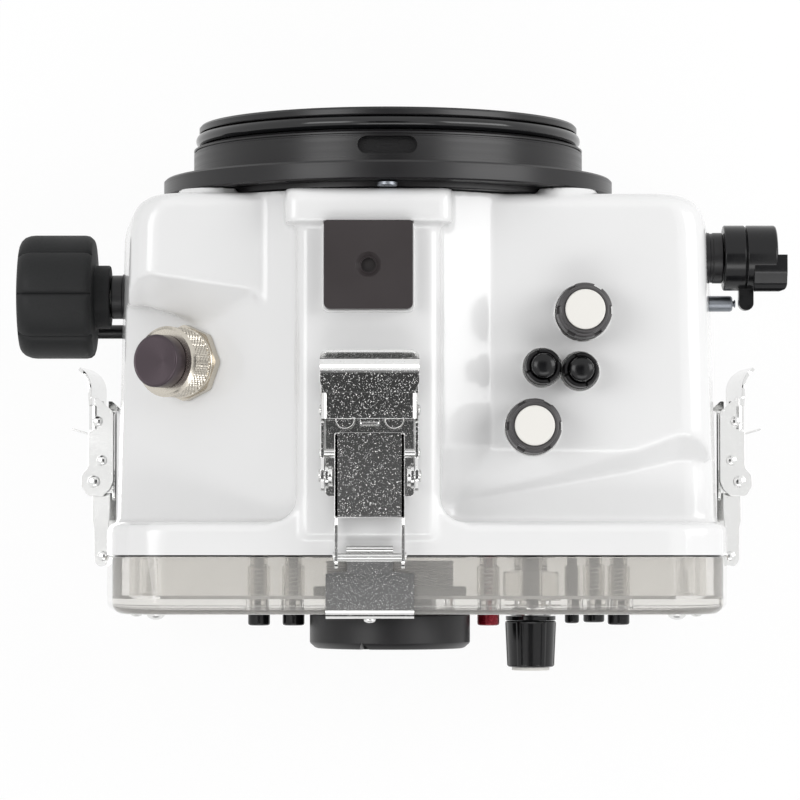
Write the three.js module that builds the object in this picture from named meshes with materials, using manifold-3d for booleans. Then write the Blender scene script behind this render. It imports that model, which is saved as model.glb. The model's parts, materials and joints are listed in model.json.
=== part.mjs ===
import * as THREE from 'three';
import { mergeVertices } from 'three/addons/utils/BufferGeometryUtils.js';
import Module from 'manifold-3d';

// Underwater camera housing with a clear back, three draw latches and its outside controls.
// Millimetres. +X is the photographer's right, +Y the port side, +Z up.
// The origin is on the underside of the base plate, below the middle of the body.

const wasm = await Module();
wasm.setup();

// Fits
const gap = 0.3;
const overrun = 2;
const weldDistance = 0.0001;

// Facets of round shapes
const facets = { ring: 40, round: 20, small: 12, pin: 10, hex: 6, corner: 4, rib: 4, flute: 6 };

// The outline that the body's rim and the clear back share
const rim = {
  halfWidth: 117,
  bottomHalfWidth: 110,
  topHalfWidth: 108,
  widestHeight: 80,
  bottom: 3,
  top: 162.5,
  bottomRadius: 16,
  sideRadius: 60,
  topRadius: 20,
  rearFace: -64.6,
  thickness: 11.8,
  frontRound: 3,
  landWidth: 10,
};

// White moulded body
const shell = {
  wall: 5,
  stepIn: 3.65,
  frontDraft: 2.95,
  front: 66.1,
  frontRound: 12,
  topRound: 4.5,
  edgeRadius: 10,
  dialDeck: 146,
  deckStep: 10,
  leftShoulder: 150,
  slopeTop: 157,
  slopeAngle: 31,
  tailRise: 3.4,
  tailWidth: 5,
  webRadius: 9,
};
const lowDeck = shell.dialDeck - shell.deckStep;

// Raised spine of the body, with a wider bar at the front
const spine = {
  centre: -17.6,
  halfWidth: 25.6,
  top: 164,
  edgeRadius: 4,
  barHalfWidth: 29.7,
  barTop: 167,
  barLength: 12.6,
  barEdgeRadius: 4,
};

// Where the left shoulder ends, from the side wall to the spine
const shoulderEdge = [
  { side: -98.7, brow: 36.9, foot: 26 },
  { side: -80.6, brow: 34.2, foot: 20 },
  { side: -59.2, brow: 31.1, foot: 12 },
  { side: -46.7, brow: 13.2, foot: 8.6 },
];

// Where the dial deck ends, from the spine to the side wall
const deckEdge = [
  { side: 10.9, brow: -26, foot: -45.6 },
  { side: 79.6, brow: -27, foot: -33.4 },
  { side: 94.4, brow: -21.5, foot: -30 },
];

// Lens port mount
const port = {
  x: -10.9,
  height: 88,
  bore: 62,
  spigotRadius: 65.7,
  spigotLength: 3.8,
  baseRadius: 74,
  flangeRear: 68.5,
  flangeFront: 75.3,
  flangeRadius: 84.1,
  neckRadius: 72.9,
  neckEnd: 87.3,
  lipRadius: 70.9,
  front: 95.8,
  slotLength: 21.4,
  slotWidth: 6.3,
  slotDepth: 4,
  slotAt: 81.9,
  slots: 3,
};
const portSeal = { radius: 69.8, thickness: 4.8, at: 90.3, sides: 6 };
const portBoss = { radius: 12, aside: 64, above: 44 };
const indexPin = { radius: 3.7, x: -10.9 };

// Accessory plate on the spine
const accessory = { width: 31.5, length: 31.5, thickness: 6, rear: 22.4, corner: 2, holeRadius: 2.7 };
const accessorySink = { radius: 4.6, depth: 1.9 };
const pedestal = { margin: 0.8, height: 2 };

// Base plate under the body
const base = {
  halfWidth: 62,
  rear: -38,
  front: 40,
  thickness: 7,
  corner: 6,
  holeRadius: 2.7,
  holeSpacing: 82.6,
};

// Tray that carries the camera
const tray = { halfWidth: 62, rear: -50, front: 22, thickness: 4, height: 16, corner: 8, padRadius: 8 };
const trayScrew = { headRadius: 8, headHeight: 3, threadRadius: 3.1, reach: 11, at: -14 };

// Clear back
const back = { front: -65.6, rear: -85.8, wall: 5.5, rearRound: 4 };
const gasket = { inset: 1.6, width: 3, height: 1.9, groove: 1.4 };

// Viewfinder eyepiece
const eyepiece = {
  x: -10.1,
  height: 121,
  radius: 29.3,
  length: 12.5,
  chamfer: 2,
  barrelRadius: 23.4,
  barrelLength: 19,
  bore: 18,
  glassThickness: 4,
  glassInset: 4,
  notchWidth: 3,
  notchTurn: 19.6,
};
const eyepieceNut = { radius: 28, thickness: 4 };

// Push buttons on the back
const rearButtons = [
  { name: 'menu_button', x: -58.3, height: 112, radius: 4.05 },
  { name: 'info_button', x: -45.6, height: 112, radius: 4.05 },
  { name: 'record_button', x: 26.1, height: 112, radius: 4.05 },
  { name: 'playback_button', x: 67.9, height: 56, radius: 4.05 },
  { name: 'delete_button', x: 74.8, height: 100, radius: 4.05 },
  { name: 'select_button', x: 58.7, height: 73, radius: 2.7 },
];
const rearButton = {
  proud: 4.8,
  travel: 2.5,
  stemRadius: 1.7,
  inner: -58,
  bossMargin: 2.4,
  padRadius: 2.6,
  padLength: 2,
};
const rearBossEnd = -63;

// Control wheel on the back
const rearKnob = {
  x: 42.4,
  height: 92,
  baseRadius: 9.5,
  endRadius: 8.8,
  start: -89.3,
  end: -106.5,
  ribs: 12,
  ribDepth: 0.7,
  shaftRadius: 3,
  inner: -55,
  wheelRadius: 6,
  wheelThickness: 4,
  glandRadius: 8,
  collarRadius: 7,
};
const rearKnobCap = { radius: 7, thickness: 1 };

// Zoom control on the left side
const zoom = {
  y: 32.05,
  height: 88,
  glandRadius: 8.3,
  glandEnd: -114.7,
  nutRadius: 12,
  nutThickness: 4,
  shaftRadius: 4,
  hubRadius: 11.9,
  hubLength: 5.9,
  knobRadius: 23.5,
  knobLength: 28,
  fluteDepth: 1.6,
  flutes: 8,
  edgeFluteShare: 0.6,
  edge: 4,
  inner: -82,
  gearRadius: 15,
  gearThickness: 6,
  gearTeeth: 18,
  toothDepth: 1.8,
};

// Lens release button on the left side, behind and below the zoom control
const release = {
  behind: 11.2,
  below: 32,
  glandRadius: 4.4,
  glandEnd: -112.2,
  rodRadius: 2.65,
  headRadius: 6,
  headLength: 6,
  end: -134,
  inner: -88,
  padRadius: 4,
};

// Shutter lever on the right side
const shutter = {
  y: 44.3,
  height: 120,
  glandRadius: 9.3,
  glandEnd: 111.9,
  shaftRadius: 3,
  ringRadius: 12,
  ringEnd: 120.1,
  bodyRadius: 12,
  bodyEnd: 131.6,
  tabStart: 122.9,
  tabEnd: 134.9,
  tabTip: 31.4,
  tabThickness: 5,
  armStart: 117.9,
  armEnd: 123.3,
  armTip: 25,
  armThickness: 5,
  inner: 84,
  innerArmLength: 26,
  innerArmWidth: 7,
  innerArmThickness: 3,
};
const shutterPost = { y: 28, drop: 7.5, radius: 2.9, end: 116.5, tipRadius: 1.3, tipLength: 0.9 };

// Dials on the deck
const dials = [
  { name: 'front_dial', x: 59.4, y: 22.6 },
  { name: 'rear_dial', x: 41.4, y: -18.7 },
];
const dial = {
  glandRadius: 6.6,
  glandHeight: 5,
  threadRadius: 5.6,
  nutRadius: 6.8,
  nutThickness: 3,
  shaftRadius: 2.2,
  radius: 9.8,
  crownRadius: 8.6,
  skirtHeight: 9,
  top: 20,
  notches: 6,
  notchDepth: 0.9,
  notchWidth: 3,
  reach: 34,
  wheelRadius: 5,
  wheelThickness: 3.5,
};
const dialCap = { radius: 7.1, thickness: 1.2 };

// Push buttons on the deck
const topButtons = [
  { name: 'mode_button', x: 44.8, y: 2.8 },
  { name: 'iso_button', x: 58.3, y: 1.5 },
];
const topButton = {
  collarRadius: 5.9,
  baseRadius: 6.4,
  baseHeight: 1.5,
  collarHeight: 13,
  capRadius: 4.1,
  top: 18.5,
  travel: 3,
  stemRadius: 1.7,
  reach: 28,
  padRadius: 3,
  padHeight: 2,
  dome: 1,
};

// Strobe connector on the slope, tilted outward
const connector = {
  x: -83,
  y: 5,
  tilt: 31,
  baseRadius: 14,
  baseHeight: 3,
  barrelRadius: 12.8,
  barrelHeight: 12,
  throatRadius: 9,
  throatDepth: 9,
  threadRadius: 8,
  threadLength: 16,
  nutRadius: 12,
  nutThickness: 5,
};
const connectorCap = { radius: 9.5, proud: 6.3, plugRadius: 8.5, plugDepth: 7 };

// Draw latches. Along is the latch's own +Y, out its height over the face that it is fixed to.
const latch = {
  pivot: { along: -36.6, out: 8.4 },
  linkPin: { along: -28.5, out: 5.3 },
  catchPin: { along: -13.4, out: 7.8 },
  hook: { along: -65.3, out: 5.6 },
  sheet: 1.2,
  flangeHalfWidth: 17.2,
  linkHalfWidth: 12.4,
  linkPinRadius: 1.5,
  catchPinRadius: 1.2,
  hookRadius: 1.5,
  headRadius: 2.1,
  headHeight: 0.9,
  pivotRadius: 1.8,
  earRadius: 4.4,
  bracketFront: -9.3,
  bracketRear: -44,
  flangeFront: -9.9,
  flangeRear: -42.2,
  flangeBottom: 0.9,
  flangeTop: 10.6,
  lobeTop: 13.3,
  lobeShares: [1, 0.45, -0.3, -0.55],
  plateRear: -16.5,
  tabFront: 8,
  tabStart: -6,
  tabHalfWidth: 17.6,
  tabRise: 5,
  linkFront: -21.4,
  linkRear: -51.4,
  linkTop: 9.8,
  linkDepth: 6.6,
  armDepth: 3,
  padHalfWidth: 17,
  padFront: -9,
  padDepth: 12,
  rimDrop: 1.5,
};

// Keepers on the back that the latches' hooks pull on
const keeper = {
  halfWidth: 15.7,
  neckHalfWidth: 10,
  lipClearance: 1.5,
  lipEngagement: 0.8,
  neckRear: -71.2,
  drop: 9.5,
  screwRadius: 2.3,
  screwHeight: 1.5,
  screwDrop: 5.6,
};

// Where the latches stand: the side ones at this height, this far out from the rim's side
const sideLatch = { height: 35, standOff: 1.5 };
const topLatchX = -17.1;

// Joining and cutting

function solid(geometry) {
  const bare = new THREE.BufferGeometry();
  bare.setAttribute('position', geometry.getAttribute('position').clone());
  if (geometry.index) {
    bare.setIndex(geometry.index.clone());
  }
  const merged = mergeVertices(bare, weldDistance);
  const corners = merged.index.array;
  const triangles = [];
  for (let i = 0; i < corners.length; i += 3) {
    const [a, b, c] = corners.slice(i, i + 3);
    if (a !== b && b !== c && c !== a) {
      triangles.push([a, b, c]);
    }
  }
  const vertProperties = new Float32Array(merged.getAttribute('position').array);
  const build = (list) => new wasm.Manifold(new wasm.Mesh({
    numProp: 3,
    vertProperties,
    triVerts: new Uint32Array(list.flat()),
  }));
  const made = build(triangles);
  return made.volume() > 0 ? made : build(triangles.map(([a, b, c]) => [a, c, b]));
}

function geometryOf(manifold) {
  const mesh = manifold.getMesh();
  const geometry = new THREE.BufferGeometry();
  geometry.setAttribute('position', new THREE.BufferAttribute(mesh.vertProperties, 3));
  geometry.setIndex(new THREE.BufferAttribute(mesh.triVerts, 1));
  geometry.computeVertexNormals();
  return geometry;
}

const join = (...solids) => solids.flat().reduce((all, next) => all.add(next));
const cut = (body, ...tools) => tools.flat().reduce((left, tool) => left.subtract(tool), body);

// Shapes. Each runs along one axis; p and q are its place on the other two, in the order x, y, z.

const bases = {
  x: new THREE.Matrix4().makeBasis(
    new THREE.Vector3(0, 1, 0), new THREE.Vector3(0, 0, 1), new THREE.Vector3(1, 0, 0)),
  y: new THREE.Matrix4().makeBasis(
    new THREE.Vector3(1, 0, 0), new THREE.Vector3(0, 0, 1), new THREE.Vector3(0, 1, 0)),
  z: new THREE.Matrix4(),
};

function place(geometry, axis, p, q, along) {
  geometry.applyMatrix4(new THREE.Matrix4().makeTranslation(p, q, along));
  geometry.applyMatrix4(bases[axis]);
  return solid(geometry);
}

function prism(axis, outline, from, to) {
  const shape = new THREE.Shape(outline.map(([p, q]) => new THREE.Vector2(p, q)));
  const geometry = new THREE.ExtrudeGeometry(shape, { depth: to - from, bevelEnabled: false });
  return place(geometry, axis, 0, 0, from);
}

function cone(axis, startRadius, endRadius, from, to, p, q, sides = facets.round) {
  const geometry = new THREE.CylinderGeometry(endRadius, startRadius, to - from, sides);
  geometry.rotateX(Math.PI / 2);
  return place(geometry, axis, p, q, (from + to) / 2);
}

function rod(axis, radius, from, to, p, q, sides = facets.round) {
  return cone(axis, radius, radius, from, to, p, q, sides);
}

function revolve(axis, profile, p, q, sides = facets.round) {
  const points = profile.map(([radius, along]) => new THREE.Vector2(radius, along));
  const geometry = new THREE.LatheGeometry(points, sides);
  geometry.rotateX(Math.PI / 2);
  return place(geometry, axis, p, q, 0);
}

function block(x0, x1, y0, y1, z0, z1) {
  const geometry = new THREE.BoxGeometry(x1 - x0, y1 - y0, z1 - z0);
  geometry.translate((x0 + x1) / 2, (y0 + y1) / 2, (z0 + z1) / 2);
  return solid(geometry);
}

function rounded(corners, radii, steps = facets.corner) {
  return corners.flatMap((corner, i) => {
    const here = new THREE.Vector2(...corner);
    const before = new THREE.Vector2(...corners.at(i - 1)).sub(here).normalize();
    const after = new THREE.Vector2(...corners[(i + 1) % corners.length]).sub(here).normalize();
    const radius = Array.isArray(radii) ? radii[i] : radii;
    if (radius <= 0) {
      return [corner];
    }
    const half = Math.acos(THREE.MathUtils.clamp(before.dot(after), -1, 1)) / 2;
    const reach = radius / Math.tan(half);
    const start = before.clone().multiplyScalar(reach);
    const end = after.clone().multiplyScalar(reach);
    const middle = before.clone().add(after).normalize().multiplyScalar(radius / Math.sin(half));
    return Array.from({ length: steps + 1 }, (_, step) => {
      const spoke = start.clone().lerp(end, step / steps).sub(middle).setLength(radius);
      return spoke.add(middle).add(here).toArray();
    });
  });
}

function rectangle(p0, p1, q0, q1) {
  return [[p0, q0], [p1, q0], [p1, q1], [p0, q1]];
}

// A skin through rings of equally many points, closed by a flat face at each end
function loft(rings, flatten) {
  const count = rings[0].length;
  const index = [];
  for (let ring = 0; ring < rings.length - 1; ring += 1) {
    for (let i = 0; i < count; i += 1) {
      const here = ring * count + i;
      const next = ring * count + (i + 1) % count;
      index.push(here, next, next + count, here, next + count, here + count);
    }
  }
  const closeEnd = (ring, sameWay) => {
    const contour = rings[ring].map(flatten);
    const turning = Math.sign(THREE.ShapeUtils.area(contour));
    for (const face of THREE.ShapeUtils.triangulateShape(contour, [])) {
      const turned = Math.sign(THREE.ShapeUtils.area(face.map((i) => contour[i])));
      const [a, b, c] = face.map((i) => ring * count + i);
      index.push(...((turned === turning) === sameWay ? [a, b, c] : [a, c, b]));
    }
  };
  closeEnd(0, false);
  closeEnd(rings.length - 1, true);
  const geometry = new THREE.BufferGeometry();
  geometry.setAttribute('position', new THREE.Float32BufferAttribute(rings.flat(2), 3));
  geometry.setIndex(index);
  return solid(geometry);
}

// The outline of the rim or of the body, seen from the front, drawn in by inset on every side

function halfWidthAt(height) {
  const above = height > rim.widestHeight;
  const end = above ? rim.top : rim.bottom;
  const endWidth = above ? rim.topHalfWidth : rim.bottomHalfWidth;
  const share = (height - rim.widestHeight) / (end - rim.widestHeight);
  return THREE.MathUtils.lerp(rim.halfWidth, endWidth, share);
}

function hullOutline(top, narrower, inset, topRadius) {
  const corners = [
    [halfWidthAt(rim.bottom), rim.bottom + inset],
    [rim.halfWidth, rim.widestHeight],
    [halfWidthAt(top), top - inset],
  ].map(([x, z]) => [x - narrower - inset, z]);
  const bottomRadius = rim.bottomRadius - inset;
  return rounded(
    [...corners, ...corners.toReversed().map(([x, z]) => [-x, z])],
    [bottomRadius, rim.sideRadius, topRadius, topRadius, rim.sideRadius, bottomRadius],
  );
}

const flatXZ = ([x, , z]) => new THREE.Vector2(x, z);
const flatXY = ([x, y]) => new THREE.Vector2(x, y);

function bodyNarrower(y) {
  const share = (y - rim.rearFace) / (shell.front - rim.rearFace);
  return shell.stepIn + shell.frontDraft * share;
}

function wallAt(y, height) {
  return halfWidthAt(height) - bodyNarrower(y);
}

// How far a rounding of this reach has drawn in where it is this far short of the front
function drawnInBy(reach, short) {
  const share = THREE.MathUtils.clamp(1 - short / reach, 0, 1);
  return reach * (1 - Math.sqrt(1 - share * share));
}

// A length of the body with a level top and a front edge that is rounded more at the sides than above
function hullBlock(top, inset, rear) {
  const front = shell.front - inset;
  const round = shell.frontRound - inset;
  const topRound = Math.max(shell.topRound - inset, gap);
  const ring = (y, short) => {
    const sideIn = drawnInBy(round, short);
    const topIn = drawnInBy(topRound, short);
    return hullOutline(top, bodyNarrower(y) + sideIn - topIn, inset + topIn, shell.edgeRadius - inset)
      .map(([x, z]) => [x, y, z]);
  };
  const turns = Array.from({ length: facets.corner + 1 }, (_, step) => (step / facets.corner) * Math.PI / 2);
  const shorts = [
    ...turns.map((turn) => round * (1 - Math.sin(turn))),
    ...turns.slice(0, -1).map((turn) => topRound * (1 - Math.sin(turn))),
  ].sort((a, b) => b - a);
  return loft([ring(rear, round), ...shorts.map((short) => ring(front - short, short))], flatXZ);
}

// Upright column whose plan changes from the foot of a slope to its brow
function slopedColumn(footPlan, browPlan, footHeight, browHeight) {
  const ring = (plan, z) => plan.map(([x, y]) => [x, y, z]);
  return loft([
    ring(footPlan, rim.bottom),
    ring(footPlan, footHeight),
    ring(browPlan, browHeight),
    ring(browPlan, spine.barTop + overrun),
  ], flatXY);
}

function leftShoulder(inset, rear) {
  const edge = (key) => shoulderEdge.map((point) => [point.side, point[key] + inset]);
  const outside = -rim.halfWidth - overrun;
  const front = shell.front + overrun;
  const plan = (key) => [
    [outside, front],
    [outside, shoulderEdge[0][key] + inset],
    ...edge(key),
    [spine.centre, shoulderEdge.at(-1)[key] + inset],
    [spine.centre, front],
  ];
  const column = slopedColumn(plan('foot'), plan('brow'), lowDeck - inset, shell.leftShoulder - inset);
  return hullBlock(shell.leftShoulder, inset, rear).intersect(column);
}

function dialDeck(inset, rear) {
  const outside = rim.halfWidth + overrun;
  const front = shell.front + overrun;
  const start = spine.centre + spine.halfWidth - shell.wall - overrun;
  const plan = (key) => [
    [start, front],
    [start, deckEdge[0][key]],
    ...deckEdge.map((point) => [point.side, point[key]]),
    [outside, deckEdge.at(-1)[key]],
    [outside, front],
  ];
  const column = slopedColumn(plan('foot'), plan('brow'), lowDeck - inset, shell.dialDeck - inset);
  return hullBlock(shell.dialDeck, inset, rear).intersect(column);
}

// The body falls away from the spine on both sides. The left slope runs down to the side wall. The right
// one runs down to the deck and shrinks to a low tail behind the dials.
const slopeLean = THREE.MathUtils.degToRad(shell.slopeAngle);
const slopeHeightAt = (x) => (
  shell.slopeTop - (Math.abs(x - spine.centre) - spine.halfWidth) * Math.tan(slopeLean)
);

function leftSlope(inset, rear) {
  const drop = inset / Math.cos(slopeLean);
  const end = -rim.halfWidth - overrun;
  const outline = [
    [spine.centre, rim.bottom],
    [spine.centre, shell.slopeTop - drop],
    [spine.centre - spine.halfWidth, shell.slopeTop - drop],
    [end, slopeHeightAt(end) - drop],
    [end, rim.bottom],
  ];
  return hullBlock(shell.slopeTop, inset, rear).intersect(prism('y', outline, rear, shell.front));
}

function rightSlope(inset, rear) {
  const drop = inset / Math.cos(slopeLean);
  const brow = spine.centre + spine.halfWidth;
  const ring = (y, top, end) => [
    [spine.centre, y, rim.bottom],
    [end, y, rim.bottom],
    [end, y, lowDeck - drop],
    [brow, y, top - drop],
    [spine.centre, y, top - drop],
  ];
  const tail = [lowDeck + shell.tailRise, brow + shell.tailWidth];
  const full = [shell.slopeTop, brow + (shell.slopeTop - lowDeck) / Math.tan(slopeLean)];
  const column = loft([
    ring(rear, ...tail),
    ring(deckEdge[0].foot, ...tail),
    ring(deckEdge[0].brow, ...full),
    ring(shell.front, ...full),
  ], flatXZ);
  return hullBlock(shell.slopeTop, inset, rear).intersect(column);
}

function rightDeck(inset, rear) {
  const outline = rectangle(spine.centre, rim.halfWidth + overrun, rim.bottom, lowDeck);
  return hullBlock(lowDeck, inset, rear).intersect(prism('y', outline, rear, shell.front));
}

function spineBlock(halfWidth, top, radius, rear, front, frontRound) {
  const outline = rectangle(spine.centre - halfWidth, spine.centre + halfWidth, lowDeck / 2, top);
  const ring = (y, drawnIn) => rounded([
    outline[0],
    outline[1],
    [outline[2][0], top - drawnIn],
    [outline[3][0], top - drawnIn],
  ], [0, 0, radius, radius]).map(([x, z]) => [x, y, z]);
  const rings = [ring(rear, 0)];
  for (let step = 0; step <= facets.corner; step += 1) {
    const turn = (step / facets.corner) * Math.PI / 2;
    rings.push(ring(front - frontRound * (1 - Math.sin(turn)), frontRound * (1 - Math.cos(turn))));
  }
  return loft(rings, flatXZ);
}

function rimBand() {
  const front = rim.rearFace + rim.thickness;
  const ring = (y, drawnIn) => hullOutline(rim.top, 0, drawnIn, rim.topRadius).map(([x, z]) => [x, y, z]);
  const rings = [ring(rim.rearFace, 0)];
  for (let step = 0; step <= facets.corner; step += 1) {
    const turn = (step / facets.corner) * Math.PI / 2;
    const drawnIn = rim.frontRound * (1 - Math.cos(turn));
    rings.push(ring(front - rim.frontRound * (1 - Math.sin(turn)), drawnIn));
  }
  return loft(rings, flatXZ);
}

// Concave fillet between the spine and the rim, seen from above
function cornerWeb(x, away) {
  const y = rim.rearFace + rim.thickness;
  const reach = shell.webRadius;
  const arc = Array.from({ length: facets.corner * 2 + 1 }, (_, step) => {
    const turn = (step / (facets.corner * 2)) * Math.PI / 2;
    return [x + away * reach * (1 - Math.sin(turn)), y + reach * (1 - Math.cos(turn))];
  });
  const outline = [
    ...arc.map(([px, py]) => [px, py]),
    [x - away * overrun, y + reach],
    [x - away * overrun, y - overrun],
    [x + away * reach, y - overrun],
  ];
  return prism('z', outline, lowDeck / 2, rim.top);
}

// Latch places

const sideFaceAt = halfWidthAt(sideLatch.height) + sideLatch.standOff;
const sideLean = THREE.MathUtils.radToDeg(Math.atan2(
  rim.halfWidth - rim.bottomHalfWidth, rim.widestHeight - rim.bottom));
const latchFaces = {
  top: { x: topLatchX, z: spine.top, lean: 0 },
  left: { x: -sideFaceAt, z: sideLatch.height, lean: -90 - sideLean },
  right: { x: sideFaceAt, z: sideLatch.height, lean: 90 + sideLean },
};

function onFace(face, made) {
  const turn = new THREE.Matrix4().makeRotationY(THREE.MathUtils.degToRad(face.lean));
  turn.setPosition(face.x, 0, face.z);
  return made.transform(turn.toArray());
}

function latchPad() {
  return block(
    -latch.padHalfWidth, latch.padHalfWidth,
    rim.rearFace + rim.thickness / 2, latch.padFront,
    -latch.padDepth, 0,
  );
}

// Holes for the controls, a clearance wider than what runs in them

const releaseAt = { y: zoom.y - release.behind, height: zoom.height - release.below };
const insideLeft = -(rim.halfWidth - shell.stepIn - shell.wall) + shell.wall * 2;

function connectorPlace(made) {
  const turn = new THREE.Matrix4().makeRotationY(THREE.MathUtils.degToRad(-connector.tilt));
  turn.setPosition(connector.x, connector.y, slopeHeightAt(connector.x));
  return made.transform(turn.toArray());
}

function controlHoles() {
  const outside = rim.halfWidth;
  const deckBottom = shell.dialDeck - shell.wall * 2;
  const deckTop = shell.dialDeck + overrun;
  return [
    rod('x', zoom.glandRadius + gap, -outside, insideLeft, zoom.y, zoom.height),
    rod('x', release.glandRadius + gap, -outside, insideLeft, releaseAt.y, releaseAt.height, facets.small),
    rod('x', shutter.glandRadius + gap, -insideLeft, outside, shutter.y, shutter.height),
    ...dials.map((one) => rod('z', dial.threadRadius + gap, deckBottom, deckTop, one.x, one.y, facets.small)),
  ];
}

// The finished pieces

const finishes = {
  whiteShell: { color: '#e9eaec', roughness: 0.25, metalness: 0 },
  clear: { color: '#dcdbd6', roughness: 0.05, metalness: 0 },
  black: { color: '#1d1d1f', roughness: 0.45, metalness: 0.3 },
  blackPlastic: { color: '#2a2b2d', roughness: 0.6, metalness: 0 },
  grip: { color: '#242526', roughness: 0.8, metalness: 0 },
  rubber: { color: '#151515', roughness: 0.7, metalness: 0 },
  steel: { color: '#c9cacb', roughness: 0.25, metalness: 1 },
  nickel: { color: '#c8c3ba', roughness: 0.3, metalness: 1 },
  aluminium: { color: '#a9abae', roughness: 0.4, metalness: 1 },
  cream: { color: '#e6e3dc', roughness: 0.5, metalness: 0 },
  red: { color: '#a01028', roughness: 0.35, metalness: 0 },
  glass: { color: '#e8eef0', roughness: 0.02, metalness: 0 },
  greyKnob: { color: '#4b4a4b', roughness: 0.5, metalness: 0 },
};

const housing = new THREE.Group();

function add(parent, name, finish, made) {
  const mesh = new THREE.Mesh(geometryOf(made), new THREE.MeshStandardMaterial(finishes[finish]));
  mesh.name = name;
  parent.add(mesh);
}

// Body

function makeBody() {
  const rimFront = rim.rearFace + rim.thickness;
  const rear = rim.rearFace + rim.thickness / 2;
  const openRear = rim.rearFace - overrun;
  const spineRear = rimFront - rim.frontRound - overrun;
  const outer = join(
    leftSlope(0, rear),
    rightSlope(0, rear),
    leftShoulder(0, rear),
    rightDeck(0, rear),
    dialDeck(0, rear),
    spineBlock(spine.halfWidth, spine.top, spine.edgeRadius, spineRear, shell.front, shell.frontRound / 2),
    spineBlock(
      spine.barHalfWidth, spine.barTop, spine.barEdgeRadius,
      shell.front - spine.barLength, shell.front, spine.barEdgeRadius,
    ),
    rimBand(),
    cornerWeb(spine.centre - spine.halfWidth, -1),
    cornerWeb(spine.centre + spine.halfWidth, 1),
    Object.values(latchFaces).slice(1).map((face) => onFace(face, latchPad())),
  );
  const inner = join(
    leftSlope(shell.wall, openRear),
    rightSlope(shell.wall, openRear),
    leftShoulder(shell.wall, openRear),
    rightDeck(shell.wall, openRear),
    dialDeck(shell.wall, openRear),
    spineBlock(
      spine.halfWidth - shell.wall, spine.top - shell.wall, spine.edgeRadius / 2,
      openRear, shell.front - shell.wall, shell.frontRound / 2,
    ),
  );
  const landOutline = hullOutline(rim.top, 0, rim.landWidth, rim.topRadius - rim.landWidth);
  const rimMouth = prism('y', landOutline, openRear, rimFront - shell.wall);
  const ringSeat = rod(
    'y', port.baseRadius + gap, shell.front, port.flangeRear + overrun, port.x, port.height, facets.ring,
  );
  const bosses = [-1, 1].flatMap((side) => [-1, 1].map((up) => rod(
    'y', portBoss.radius, shell.front - shell.wall / 2, port.flangeRear - gap,
    port.x + side * portBoss.aside, port.height + up * portBoss.above,
  ).subtract(ringSeat)));
  const portHole = rod(
    'y', port.spigotRadius + gap, shell.front - shell.frontRound, port.flangeRear + overrun,
    port.x, port.height, facets.ring,
  );
  const boss = connectorPlace(rod(
    'z', connector.baseRadius + pedestal.margin, -shell.wall * 2, gap, 0, 0,
  ));
  const bossBore = connectorPlace(rod(
    'z', connector.threadRadius + gap, -shell.frontRound * 2, shell.frontRound, 0, 0,
  ));
  const plateSeat = block(
    topPlate.left - pedestal.margin, topPlate.right + pedestal.margin,
    topPlate.rear - pedestal.margin, topPlate.front + pedestal.margin,
    spine.top - shell.wall / 2, spine.top + pedestal.height,
  );
  const plateRecess = block(
    topPlate.left - gap, topPlate.right + gap, topPlate.rear - gap, topPlate.front + gap,
    spine.top + pedestal.height, spine.barTop + overrun,
  );
  const pads = trayPads.map(([x, y]) => rod(
    'z', tray.padRadius, rim.bottom + shell.wall / 2, tray.height - gap, x, y, facets.small,
  ));
  const baseRecess = prism('z', rounded(
    rectangle(-base.halfWidth - gap, base.halfWidth + gap, base.rear - gap, base.front + gap), base.corner,
  ), -overrun, base.thickness + gap);
  const baseBoss = prism('z', rounded(
    rectangle(-base.halfWidth - shell.wall, base.halfWidth + shell.wall,
      base.rear - shell.wall, base.front + shell.wall), base.corner,
  ), rim.bottom + shell.wall / 2, base.thickness + gap + shell.wall);
  const buttonHoles = topButtons.map((one) => rod(
    'z', topButton.collarRadius - topButton.baseHeight + gap,
    shell.dialDeck - shell.wall * 2, shell.dialDeck + overrun, one.x, one.y, facets.small,
  ));
  return join(
    cut(join(outer, bosses, boss, plateSeat), inner, rimMouth, portHole, bossBore,
      controlHoles(), buttonHoles, plateRecess),
    pads,
    baseBoss,
  ).subtract(baseRecess);
}

const topPlate = {
  left: spine.centre - accessory.width / 2,
  right: spine.centre + accessory.width / 2,
  rear: accessory.rear,
  front: accessory.rear + accessory.length,
};

const trayPads = [-1, 1].flatMap((side) => [tray.rear, tray.front].map((y) => [
  side * (tray.halfWidth - tray.padRadius),
  y + (y < 0 ? tray.padRadius : -tray.padRadius),
]));

add(housing, 'housing_body', 'whiteShell', makeBody());

// Port mount

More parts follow.
